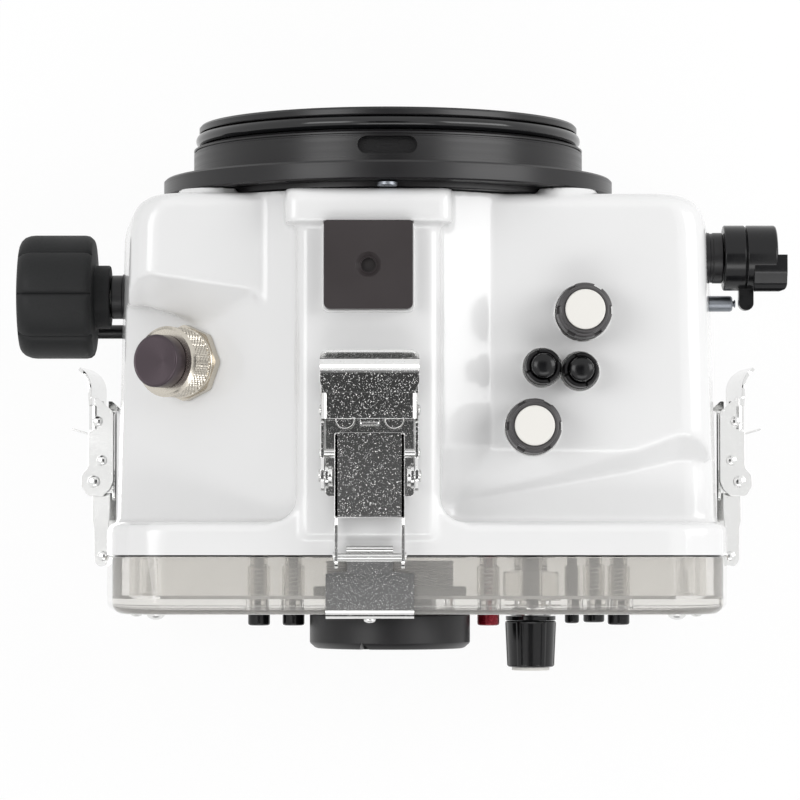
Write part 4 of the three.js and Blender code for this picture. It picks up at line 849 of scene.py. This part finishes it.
class HOUSING_OT_rear_controls(bpy.types.Operator):
    """Make the buttons and the control wheel on the back"""
    bl_idname = "housing.rear_controls"
    bl_label = "Rear controls"

    def execute(self, context):
        for name, (x, z, radius) in REAR_BUTTONS.items():
            made_of = "red button" if name == "record" else "black plastic"
            lathed(f"{name}_cap", [
                (radius - 0.9, -90.6), (radius - 0.25, -90.35), (radius, -89.8), (radius, -86), (1.7, -85.8),
                (1.7, -58), (2.6, -58), (2.6, -56.2), (2.4, -56),
            ], at("y", (x, 0, z)), made_of, [f"{name}_button"], steps=40, sharp=40)
        axis = at("y", WHEEL)
        ribs = ribbed(6, 0.35, 0.25, -106, -89.7)
        lathed("wheel_knob", [
            (7.6, -106.5), (8.2, -106.4), (8.6, -106.1), (8.8, -105.6), (9.5, -90.2), (9.4, -89.6),
            (9.0, -89.3), (3, -89.3), (3, -55), (6, -55), (6, -51.4), (5.6, -51),
        ], axis, "black plastic", ["rear_wheel_knob"], steps=144, ripple=ribs, sharp=40)
        lathed("wheel_disc", [
            (6.8, -107.7), (7, -107.5), (7, -106.6),
        ], axis, "blank disc", ["rear_wheel_cap"])
        lathed("wheel_root_ring", [
            (3.4, -87.3), (7.4, -87.3), (7.6, -87.1), (7.6, -84), (3.4, -84),
        ], axis, "turned steel", closed=True, body="back")
        lathed("wheel_washer", [
            (3.4, -89.1), (9.1, -89.1), (9.3, -88.9), (9.3, -87.5), (3.4, -87.5),
        ], axis, "black plastic", closed=True, body="back", sharp=30)
        return {"FINISHED"}


# Left side controls

class HOUSING_OT_left_controls(bpy.types.Operator):
    """Make the large zoom knob, its gland, shaft and gear, and the lens release button"""
    bl_idname = "housing.left_controls"
    bl_label = "Left controls"

    def execute(self, context):
        axis = at("x", ZOOM)
        lathed("zoom_gland_turned", [
            (4.3, -93.35), (12, -93.35), (12, -98), (8.3, -98.3), (8.3, -108.9), (8.6, -109.1),
            (8.6, -110.3), (8.2, -110.6), (8.2, -114.2), (7.8, -114.7), (4.3, -114.7),
        ], axis, "black anodised", ["zoom_gland"], steps=64, closed=True, sharp=25)
        lobes = grooved(8, 1.5, -148.6, -121.2)
        lathed("zoom_knob_moulded", [
            (4.3, -148.5), (13, -148.7), (18.4, -148.9), (20, -148.7), (21.4, -148), (22.6, -146.7),
            (23.3, -144.8), (23.5, -143), (23.5, -124.2), (23.2, -122.6), (22.3, -121.5), (20.9, -121),
            (13, -120.9), (12.4, -120.8), (11.9, -120.4), (11.9, -115.6), (11.5, -115.1), (4.3, -115.1),
        ], axis, "soft grip", ["zoom_knob"], steps=192, ripple=lobes, closed=True, sharp=40)
        recast("zoom_shaft", "turned steel", 0.2)
        recast("zoom_gear", "black plastic", 0.2)
        low = at("x", RELEASE)
        lathed("release_gland_turned", [
            (2.95, -98.35), (4.4, -98.35), (4.4, -111.8), (4.1, -112.2), (2.95, -112.2),
        ], low, "black anodised", ["release_gland"], steps=40, closed=True, sharp=25)
        lathed("release_plunger", [
            (5.2, -134), (5.8, -133.7), (6, -133.2), (6, -128.3), (5.7, -128), (2.65, -128), (2.65, -88.2),
            (4, -88), (4, -86.2), (3.8, -86),
        ], low, "black anodised", ["release_button"], sharp=30)
        return {"FINISHED"}


# Shutter lever

class HOUSING_OT_shutter(bpy.types.Operator):
    """Make the shutter lever with its gland, its inner arm and its stop post"""
    bl_idname = "housing.shutter"
    bl_label = "Shutter lever"

    def execute(self, context):
        _, y, z = SHUTTER
        axis = at("x", SHUTTER)
        lathed("shutter_gland_turned", [
            (3.3, 98.35), (9.3, 98.35), (9.3, 107), (9.05, 107.3), (9.05, 108.1), (9.3, 108.4),
            (9.3, 111.5), (8.9, 111.9), (3.3, 111.9),
        ], axis, "black anodised", ["shutter_gland"], steps=64, closed=True, sharp=25)
        hub = moved(lathe([
            (3, 84), (3, 112.2), (11.6, 112.2), (12, 112.6), (12, 119.7), (11.7, 120), (11.2, 120.1),
            (11.2, 120.4), (11.7, 120.5), (12, 120.8), (12, 130.7), (11.6, 131.3), (10.8, 131.6),
        ], 72), axis)
        paddle = bend([
            (y + 0.5, z + 9.6), (y - 5.5, z + 9.6), (y - 11.2, z + 7.2), (31.4, z + 9.9),
        ], [5, 2.2])
        grip = []
        for py, pz in paddle:
            near = max(0, 34.4 - py)
            outer = 134.9 - (3 - math.sqrt(max(0, 9 - near * near)))
            corners = ((122.9, 1.9), (outer, 1.9), (outer, -1.9), (122.9, -1.9))
            grip.append([(px, py, pz - off) for px, off in corners])
        outline = rounded([(117.9, y), (117.9, 25), (123.3, 25), (123.3, y)], [0, 2.6, 2.6, 0])
        arm = prism(outline, z - 2.5, z + 2.5)
        lever = joined(hub, loft(grip), arm)
        piece("shutter_paddle", lever, "black plastic", ["shutter_lever"], edge=0.7, steps=3, sharp=40)
        recast("shutter_inner_arm", "natural aluminium", 0.2)
        lathed("shutter_stop", [
            (2.9, 107.6), (2.9, 115.6), (2.4, 116.2), (1.1, 116.4), (1.0, 116.8), (1.5, 117), (1.3, 117.4),
        ], at("x", STOP_POST), "satin steel", ["shutter_stop_post"], steps=32, sharp=30)
        return {"FINISHED"}


# Dials and deck buttons

def radial(count, form):
    return [moved(form, Matrix.Rotation(math.tau * k / count, 4, "Z")) for k in range(count)]


class HOUSING_OT_dials(bpy.types.Operator):
    """Make the two notched dials on the deck, with their glands and blank discs"""
    bl_idname = "housing.dials"
    bl_label = "Dials"

    def execute(self, context):
        for name, (x, y) in DIALS.items():
            place = Matrix.Translation((x, y, DECK))
            lathed(f"{name}_gland_turned", [
                (2.5, -8.3), (6.8, -8.3), (6.8, -5.3), (5.6, -5.3), (5.6, 0.3), (6.6, 0.3), (6.6, 4.7),
                (6.3, 5), (2.5, 5),
            ], place, "black anodised", [f"{name}_gland"], closed=True, sharp=25)
            lathed(f"{name}_base_ring", [
                (6.7, 0.05), (10.4, 0.05), (10.4, 0.5), (10.1, 0.8), (6.7, 0.8),
            ], place, "turned steel", steps=64, closed=True, body="housing", sharp=25)
            knob = lathe([
                (2.2, -37.5), (5, -37.4), (5, -34), (2.2, -34), (2.2, 5.3), (9.5, 5.3), (9.8, 5.7),
                (9.8, 16.6), (9.6, 17.2), (9.2, 17.6), (8.6, 17.8), (8.4, 19.6), (8.1, 20.0), (7.5, 20.0),
                (7.4, 19.75),
            ], context.scene.housing_sizes.turns)
            notches = radial(6, block(8.75, 11, -1.5, 1.5, 9, 21))
            piece(
                f"{name}_moulded", moved(knob, place), "dial plastic", [f"{name}_knob"],
                cuts=[moved(tool, place) for tool in notches], sharp=30,
            )
            lathed(f"{name}_disc", [
                (7.1, 20.3), (7.1, 21.2), (6.8, 21.5),
            ], place, "blank disc", [f"{name}_cap"], steps=64)
        return {"FINISHED"}


class HOUSING_OT_deck_buttons(bpy.types.Operator):
    """Make the two push buttons on the deck with their slotted collars"""
    bl_idname = "housing.deck_buttons"
    bl_label = "Deck buttons"

    def execute(self, context):
        for name, (x, y) in DECK_BUTTONS.items():
            place = Matrix.Translation((x, y, DECK))
            collar = lathe([
                (4.7, 3), (4.7, 12.4), (5.1, 13), (5.8, 13), (6.2, 12.6), (6.2, 1.6), (6.4, 1.4), (6.4, 0.8),
                (4.4, 0.8), (4.4, -5.3), (2, -5.3), (2, 3),
            ], 64, closed=True)
            slots = radial(4, block(4.5, 7, -0.45, 0.45, 6.5, 14))
            piece(
                f"{name}_collar_slotted", moved(collar, place), "black anodised", [f"{name}_button_collar"],
                cuts=[moved(tool, leaned((x, y, DECK), 20, "Z")) for tool in slots], sharp=25,
            )
            lathed(f"{name}_washer", [
                (4.5, 0.05), (7.3, 0.05), (7.3, 0.45), (7.1, 0.7), (4.5, 0.7),
            ], place, "turned steel", steps=64, closed=True, body="housing", sharp=25)
            lathed(f"{name}_domed_cap", [
                (3, -30), (3, -28), (1.7, -27.9), (1.7, 6.3), (4.4, 6.3), (4.4, 16.9), (4.2, 17.5),
                (3.6, 18.1), (2.2, 18.4), (0.4, 18.5),
            ], place, "black plastic", [f"{name}_button"], sharp=40)
        return {"FINISHED"}


# Connector

class HOUSING_OT_connector(bpy.types.Operator):
    """Make the knurled strobe connector with its nut and its cap"""
    bl_idname = "housing.connector"
    bl_label = "Connector"

    def execute(self, context):
        place = leaned(CONNECTOR, CONNECTOR_LEAN, "Y")
        deep = context.scene.housing_sizes.knurl / MM
        low, high, count = 5.6, 14.6, 44

        def diamonds(turn, height):
            if not low < height < high:
                return 0
            phase = (height - low) / (math.tau * 12.5 / count)
            waves = [abs((turn * count / math.tau + sign * phase) % 1 - 0.5) * 2 for sign in (-1, 1)]
            return -deep * (1 - min(waves))
        rows = [low + (high - low) * k / 54 for k in range(55)]
        barrel = lathe([
            (9, 15.6), (9, 6.6), (7.9, 6.6), (4, 6.6), (4, -15.4), (8, -15.4), (8, 0.6), (12.4, 0.6),
            (12.4, 3.7), (12.2, 4), *[(12.8, h) for h in rows], (12.2, 15), (11.6, 15.6),
        ], 336, diamonds, closed=True)
        foot = prism(rounded(
            [(14 * math.cos(math.tau * k / 8), 14 * math.sin(math.tau * k / 8)) for k in range(8)], 2.4,
        ), 0.6, 3.6)
        obj = raw("connector_knurled", moved(barrel, place))
        carve(obj, [moved(foot, place)], "UNION")
        dress(obj, "nickel plate", ["strobe_connector"], sharp=30)
        recast("strobe_connector_nut", "nickel plate", 0.4)
        lathed("connector_cap_turned", [
            (8.3, 8.9), (8.5, 9.1), (8.5, 15.9), (9.3, 15.9), (9.5, 16.2), (9.5, 21.6), (9.2, 22),
            (8.7, 22.2), (8.3, 22.05), (0.3, 22),
        ], place, "cap anodised", ["strobe_connector_cap"], steps=96, sharp=40)
        return {"FINISHED"}


# Latches. Their own X runs across, Y along and Z out from the face that they stand on.

SHEET = 1.2
LEVER_HALF = 17.2
TAB_HALF = 17.6
TAB_CORNER = 3.5
LINK_PIN = (-28.5, 5.3)
CATCH_PIN = (-13.4, 7)
BRACKET_PIN = (-36.6, 8.4)


def across(form, place):
    """Turns a form that is built up Z so that it runs across a latch, at (along, out)."""
    return moved(form, at("x", (0, *place)))


def rivet(side, start, place, radius=2.05):
    """A domed rivet head on the outside of a latch's cheek."""
    head = joined(rod(radius, 0, 0.25, 24), dome(radius * 0.97, 0.9 - 0.25, 0.25))
    if side < 0:
        head = moved(head, Matrix.Rotation(math.pi, 4, "X"))
    return moved(head, at("x", (side * start, *place)))


def cheek(outline, inner, outer, side):
    low, high = sorted((side * inner, side * outer))
    return moved(prism(outline, low, high), AXES["x"])


def channel(wide, top, drop, radius, start, end):
    """A folded sheet: a flat top with a round bend down each side, run along the latch."""
    def side_of(reach, height, bend_radius):
        corner = rounded([(-reach, height - drop), (-reach, height), (0, height)], [0, bend_radius, 0])
        return corner[:-1]
    outer = side_of(wide, top, radius)
    inner = side_of(wide - SHEET, top - SHEET, radius - SHEET)
    section = outer + [(-u, v) for u, v in outer[::-1]] + [(-u, v) for u, v in inner] + inner[::-1]
    return loft([[(u, y, v) for u, v in section] for y in (start, end)])


def lever_forms():
    lobe = rounded(
        [(-4.4, 7), (-4.4, 8.4), (-16.5, 8.4), (-17.6, 10.6), (-31, 10.6), (-34.1, 13.3), (-38.3, 13.3),
         (-42.2, 11), (-42.2, 5), (-39.6, 2.2), (-36.6, 0.9), (-9.9, 0.9)],
        [0.6, 0, 0, 0.8, 3, 2.4, 2.4, 2.4, 2.6, 2, 2, 2.4],
    )
    forms = [cheek(lobe, LEVER_HALF - SHEET, LEVER_HALF, side) for side in (-1, 1)]
    forms.append(channel(LEVER_HALF, 10.6, 3.4, 2.2, -16.5, -7.4))
    path = bend([(-7.6, 10), (0, 10), (4, 10.7), (7.2, 14.7)], [6, 8], 6)
    path = [(-7.6, 10), (-6.6, 10), (-5.6, 10), (-4.6, 10), (-3.6, 10)] + [p for p in path if p[0] > -3.2]
    tip, before = Vector(path[-1]), Vector(path[-2])
    run = (tip - before).normalized()
    path = [p for p in path if (Vector(p) - tip).length > 3.6]
    path += [tuple(tip - run * short) for short in (3.5, 2.8, 2.1, 1.4, 0.8, 0.35, 0.1, 0)]
    widths = []
    for spot in path:
        short = min(TAB_CORNER, (Vector(spot) - tip).length)
        corner = TAB_CORNER - math.sqrt(max(0, TAB_CORNER ** 2 - (TAB_CORNER - short) ** 2))
        shoulder = max(0, min(1, (-3.5 - spot[0]) / 5.3))
        widths.append(TAB_HALF - corner - 2.2 * shoulder)
    forms.append(bent_sheet(path, widths, SHEET))
    for side in (-1, 1):
        forms += [rivet(side, LEVER_HALF, LINK_PIN), rivet(side, LEVER_HALF, CATCH_PIN)]
    reach = LEVER_HALF - 0.3
    forms.append(across(rod(1.5, -reach, reach, 24), LINK_PIN))
    forms.append(across(rod(1.2, -reach, reach, 24), CATCH_PIN))
    return forms


def link_forms():
    hook = [
        (-65.3 - 4 * math.sin(a), 6.2 + 3 * math.cos(a)) for a in (math.pi * k / 10 for k in range(1, 10))
    ]
    arm = rounded(
        [
            (-25.2, 3.8), (-21.4, 6.8), (-21.4, 9.8), (-51.4, 9.8), (-54, 9.2), *hook,
            (-53, 3.4), (-48.4, 3), (-28.5, 2.6),
        ],
        [1.2, 0.8, 0.8, 1.6, 2, *[0] * len(hook), 4, 3, 1.4],
    )
    forms = [cheek(arm, 11.2, 12.4, side) for side in (-1, 1)]
    plate = [(-51.4, 9.2), (-50.6, 9.2), (-22.2, 9.2), (-21.4, 9.2)]
    forms.append(bent_sheet(plate, [11.6, 12.2, 12.2, 11.6], SHEET))
    forms.append(across(rod(1.5, -12.6, 12.6, 24), (-65.3, 5.6)))
    forms += [rivet(side, 12.4, (-65.3, 5.6), 2.0) for side in (-1, 1)]
    return forms


def bracket_forms():
    outline = rounded([(-15.7, -43.8), (15.7, -43.8), (15.7, -9.3), (-15.7, -9.3)], 1.5)
    ear = rounded([
        (-41, 0.3), (-32.2, 0.3), (-32.2, 10.4), (-34.3, 12.7), (-38.9, 12.7), (-41, 10.4),
    ], [0, 0, 2, 2, 2, 2])
    forms = [prism(outline, 0.3, 1.5)]
    for side in (-1, 1):
        forms.append(cheek(ear, 14.5, 15.7, side))
        sleeve = rod(3.5, *sorted((side * 13.2, side * 14.7)), 32, 0.2)
        forms.append(across(sleeve, BRACKET_PIN))
        forms.append(across(rod(1.8, *sorted((side * 15.5, side * 17.6)), 24), BRACKET_PIN))
        forms.append(rivet(side, LEVER_HALF + 0.3, BRACKET_PIN, 2.4))
    return forms


def catch_forms(finger_at):
    """The small spring catch under the lever's plate, and beside the link the finger that frees it."""
    tongue = bend([(-14.6, 8.9), (-18.2, 8.9), (-18.2, 9.8)], [0.6], 4)
    forms = [bent_sheet(tongue, [3.4] * (len(tongue) - 1) + [2.8], 0.7)]
    if finger_at:
        wire = bend([(-14.6, 8.9), (-18.8, 8.9), (-16.3, 17.4)], [0.9], 4)
        forms.append(bent_sheet(wire, [0.7] * len(wire), 0.7, finger_at))
    for side in (-1, 1):
        forms.append(moved(rod(3.5, 7, 8.1, 28, 0.25), Matrix.Translation((side * 8.7, -16.6, 0))))
        forms.append(block(side * 8.7 - 2, side * 8.7 + 2, -16.3, -14, 7.4, 9.3))
    return forms


def keeper_forms():
    lip = bend([(-63.4, 4.3), (-62.1, 4.9), (-61.7, 3.4), (-61.7, -0.6), (-71.2, -0.6)], [0.7, 0.9, 1.8])
    path = lip[:-1] + [(-70.4, -0.6), (-71.2, -0.6)]
    path += bend([(-71.4, -0.6), (-86.7, -0.6), (-86.7, -9.4)], [2.8])
    widths = [8.2] * len(lip) + [15.0]
    widths += [15.7] * (len(path) - len(widths))
    return [bent_sheet(path, widths, SHEET)]


def keeper_screw_forms():
    head = joined(rod(2.3, 0, 0.4, 24), dome(2.25, 1.1, 0.4))
    rear = leaned((0, -87.4, -5.6), 90, "X")
    return [moved(head, rear), moved(rod(1.4, -1.6, 0.2, 16), rear)]


class HOUSING_OT_latches(bpy.types.Operator):
    """Press the three draw latches and their keepers"""
    bl_idname = "housing.latches"
    bl_label = "Latches"

    def execute(self, context):
        for side, (place, lean) in LATCH_FACES.items():
            stood = leaned(place, lean, "Y")
            pieces = {
                "lever": (lever_forms(), [f"{side}_latch_lever"], 0.22),
                "link": (link_forms(), [f"{side}_latch_link"], 0.25),
                "bracket": (bracket_forms(), [f"{side}_latch_bracket"], 0.2),
                "keeper": (keeper_forms(), [f"{side}_latch_keeper"], 0.3),
                "keeper_screw": (keeper_screw_forms(), [f"{side}_keeper_screw"], 0),
            }
            for name, (forms, nodes, edge) in pieces.items():
                form = moved(joined(*forms), stood)
                made_of = "turned steel" if name == "keeper_screw" else "polished steel"
                piece(f"{side}_{name}_pressed", form, made_of, nodes, edge=edge, sharp=40)
            finger_at = {"top": 0, "left": 14, "right": -14}[side]
            catch = moved(joined(*catch_forms(finger_at)), stood)
            piece(f"{side}_catch", catch, "polished steel", body=f"{side}_lever", edge=0.15, sharp=40)
        return {"FINISHED"}


# Stage. A soft box has its place, width and height in metres and its level. A card has its grey, and its rear
# and front in millimetres. The room is dimmer as a light than it looks.

SOFT_BOXES = {
    "left box": ((-0.95, 0.2, 1.45), 0.6, 0.8, 3.3),
    "right box": ((1.15, 0.3, 0.95), 0.6, 1.1, 3.5),
    "rear box": ((0.1, -0.9, 1.5), 1.2, 0.4, 2.4),
}
CARDS = {
    "dark_card": ("#3c3c3c", 8, 320),
    "mid_card": ("#5c5c5c", -70, 8),
    "pale_card": ("#868686", -420, -70),
}
CARD_SIDES = (-300, 280)
CARD_HEIGHTS = (1500, 1510)
FLOOR_REACH = 3000
FLOOR_DROP = 0.3
FLOOR_SHOWN = 0.92
ROOM_LEVEL = 0.7
CAMERA = {"sensor": 36, "lens": 167.5, "place": (-0.0064, -0.061, 1.485), "tilt": 2.23}


def soft_light(name, place, wide, tall, level):
    """A soft box of one even brightness, turned to the housing."""
    lamp = bpy.data.lights.new(name, "AREA")
    lamp.shape = "RECTANGLE"
    lamp.size, lamp.size_y = wide, tall
    lamp.energy = level * math.pi * wide * tall
    obj = bpy.data.objects.new(name, lamp)
    obj.location = place
    obj.rotation_euler = (Vector((0, 0, 0.1)) - Vector(place)).to_track_quat("-Z", "Y").to_euler()
    bpy.context.scene.collection.objects.link(obj)


def looked_at(tree):
    """One for a ray that the camera, a mirror or a clear piece sends, else zero."""
    kinds = add_node(tree, "ShaderNodeLightPath").outputs
    seen = kinds["Is Camera Ray"]
    for kind in ("Is Transmission Ray", "Is Glossy Ray"):
        seen = add_node(tree, "ShaderNodeMath", {0: seen, 1: kinds[kind]}, operation="MAXIMUM").outputs[0]
    return seen


def plain_material(name, hue, shown):
    """A floor or card whose camera, mirror and through rays see one flat colour."""
    made = bpy.data.materials.new(name)
    made.use_nodes = True
    tree = made.node_tree
    tree.nodes.clear()
    share = add_node(tree, "ShaderNodeMath", {0: looked_at(tree), 1: shown}, operation="MULTIPLY")
    matt = add_node(tree, "ShaderNodeBsdfDiffuse", {"Color": (*hue, 1)})
    flat = add_node(tree, "ShaderNodeEmission", {"Color": (1, 1, 1, 1), "Strength": 1.0})
    both = {0: share.outputs[0], 1: matt.outputs[0], 2: flat.outputs[0]}
    mixed = add_node(tree, "ShaderNodeMixShader", both)
    add_node(tree, "ShaderNodeOutputMaterial", {0: mixed.outputs[0]})
    return made


class HOUSING_OT_stage(bpy.types.Operator):
    """Set the white floor, the soft lights, the grey cards over the camera and the camera"""
    bl_idname = "housing.stage"
    bl_label = "Stage"

    def execute(self, context):
        scene = context.scene
        near, far = -FLOOR_REACH, FLOOR_REACH
        corners = [(x, y, -FLOOR_DROP) for x, y in ((near, near), (far, near), (far, far), (near, far))]
        floor = raw("floor", (corners, [[0, 1, 2, 3]]))
        floor.data.materials.append(plain_material("white floor", linear("#ffffff"), FLOOR_SHOWN))
        cards = []
        for name, (code, rear, front) in CARDS.items():
            cards.append(raw(name, block(*CARD_SIDES, rear, front, *CARD_HEIGHTS)))
            cards[-1].data.materials.append(surface(name.replace("_", " "), linear(code), rough=(0.9, 0.95)))
        screen = raw("grey_screen", block(-900, 900, -2020, -2000, 0, 900))
        screen.data.materials.append(surface("grey screen", linear("#4a4a4a"), rough=(0.9, 0.95)))
        for seen_in_mirrors in (screen, *cards):
            seen_in_mirrors.visible_camera = False
        world = bpy.data.worlds.new("white room")
        scene.world = world
        world.use_nodes = True
        tree = world.node_tree
        tree.nodes.clear()
        levels = {"Value": looked_at(tree), "To Min": ROOM_LEVEL, "To Max": 1.0}
        level = add_node(tree, "ShaderNodeMapRange", levels)
        glow = add_node(tree, "ShaderNodeBackground", {"Color": (1, 1, 1, 1), "Strength": level.outputs[0]})
        add_node(tree, "ShaderNodeOutputWorld", {0: glow.outputs[0]})
        for name, settings in SOFT_BOXES.items():
            soft_light(name, *settings)
        camera = bpy.data.cameras.new("photo camera")
        camera.sensor_width = CAMERA["sensor"]
        camera.lens = CAMERA["lens"]
        camera.clip_end = 100
        seat = bpy.data.objects.new("photo camera", camera)
        seat.location = CAMERA["place"]
        seat.rotation_euler = (math.radians(CAMERA["tilt"]), 0, 0)
        scene.collection.objects.link(seat)
        scene.camera = seat
        scene.view_settings.view_transform = "Standard"
        return {"FINISHED"}


class HOUSING_PT_panel(bpy.types.Panel):
    """Lists the housing's pieces, colours and sizes"""
    bl_idname = "HOUSING_PT_panel"
    bl_label = "Camera housing"
    bl_space_type = "VIEW_3D"
    bl_region_type = "UI"
    bl_category = "Housing"

    def draw(self, context):
        for maker in MAKERS:
            self.layout.operator(maker.bl_idname)
        for group in (context.scene.housing_colours, context.scene.housing_sizes):
            for key in group.bl_rna.properties.keys():
                if key not in {"rna_type", "name"}:
                    self.layout.prop(group, key)


MAKERS = (
    HOUSING_OT_stage,
    HOUSING_OT_body,
    HOUSING_OT_port,
    HOUSING_OT_plates,
    HOUSING_OT_back,
    HOUSING_OT_eyepiece,
    HOUSING_OT_rear_controls,
    HOUSING_OT_left_controls,
    HOUSING_OT_shutter,
    HOUSING_OT_dials,
    HOUSING_OT_deck_buttons,
    HOUSING_OT_connector,
    HOUSING_OT_latches,
)
GROUPS = (HousingColours, HousingSizes)


def register():
    for made in (*GROUPS, *MAKERS, HOUSING_PT_panel):
        bpy.utils.register_class(made)
    bpy.types.Scene.housing_colours = bpy.props.PointerProperty(type=HousingColours)
    bpy.types.Scene.housing_sizes = bpy.props.PointerProperty(type=HousingSizes)


def unregister():
    del bpy.types.Scene.housing_colours
    del bpy.types.Scene.housing_sizes
    for made in (HOUSING_PT_panel, *MAKERS[::-1], *GROUPS[::-1]):
        bpy.utils.unregister_class(made)


def main():
    register()
    for maker in MAKERS:
        group, name = maker.bl_idname.split(".")
        getattr(getattr(bpy.ops, group), name)()


if __name__ == "__main__":
    main()
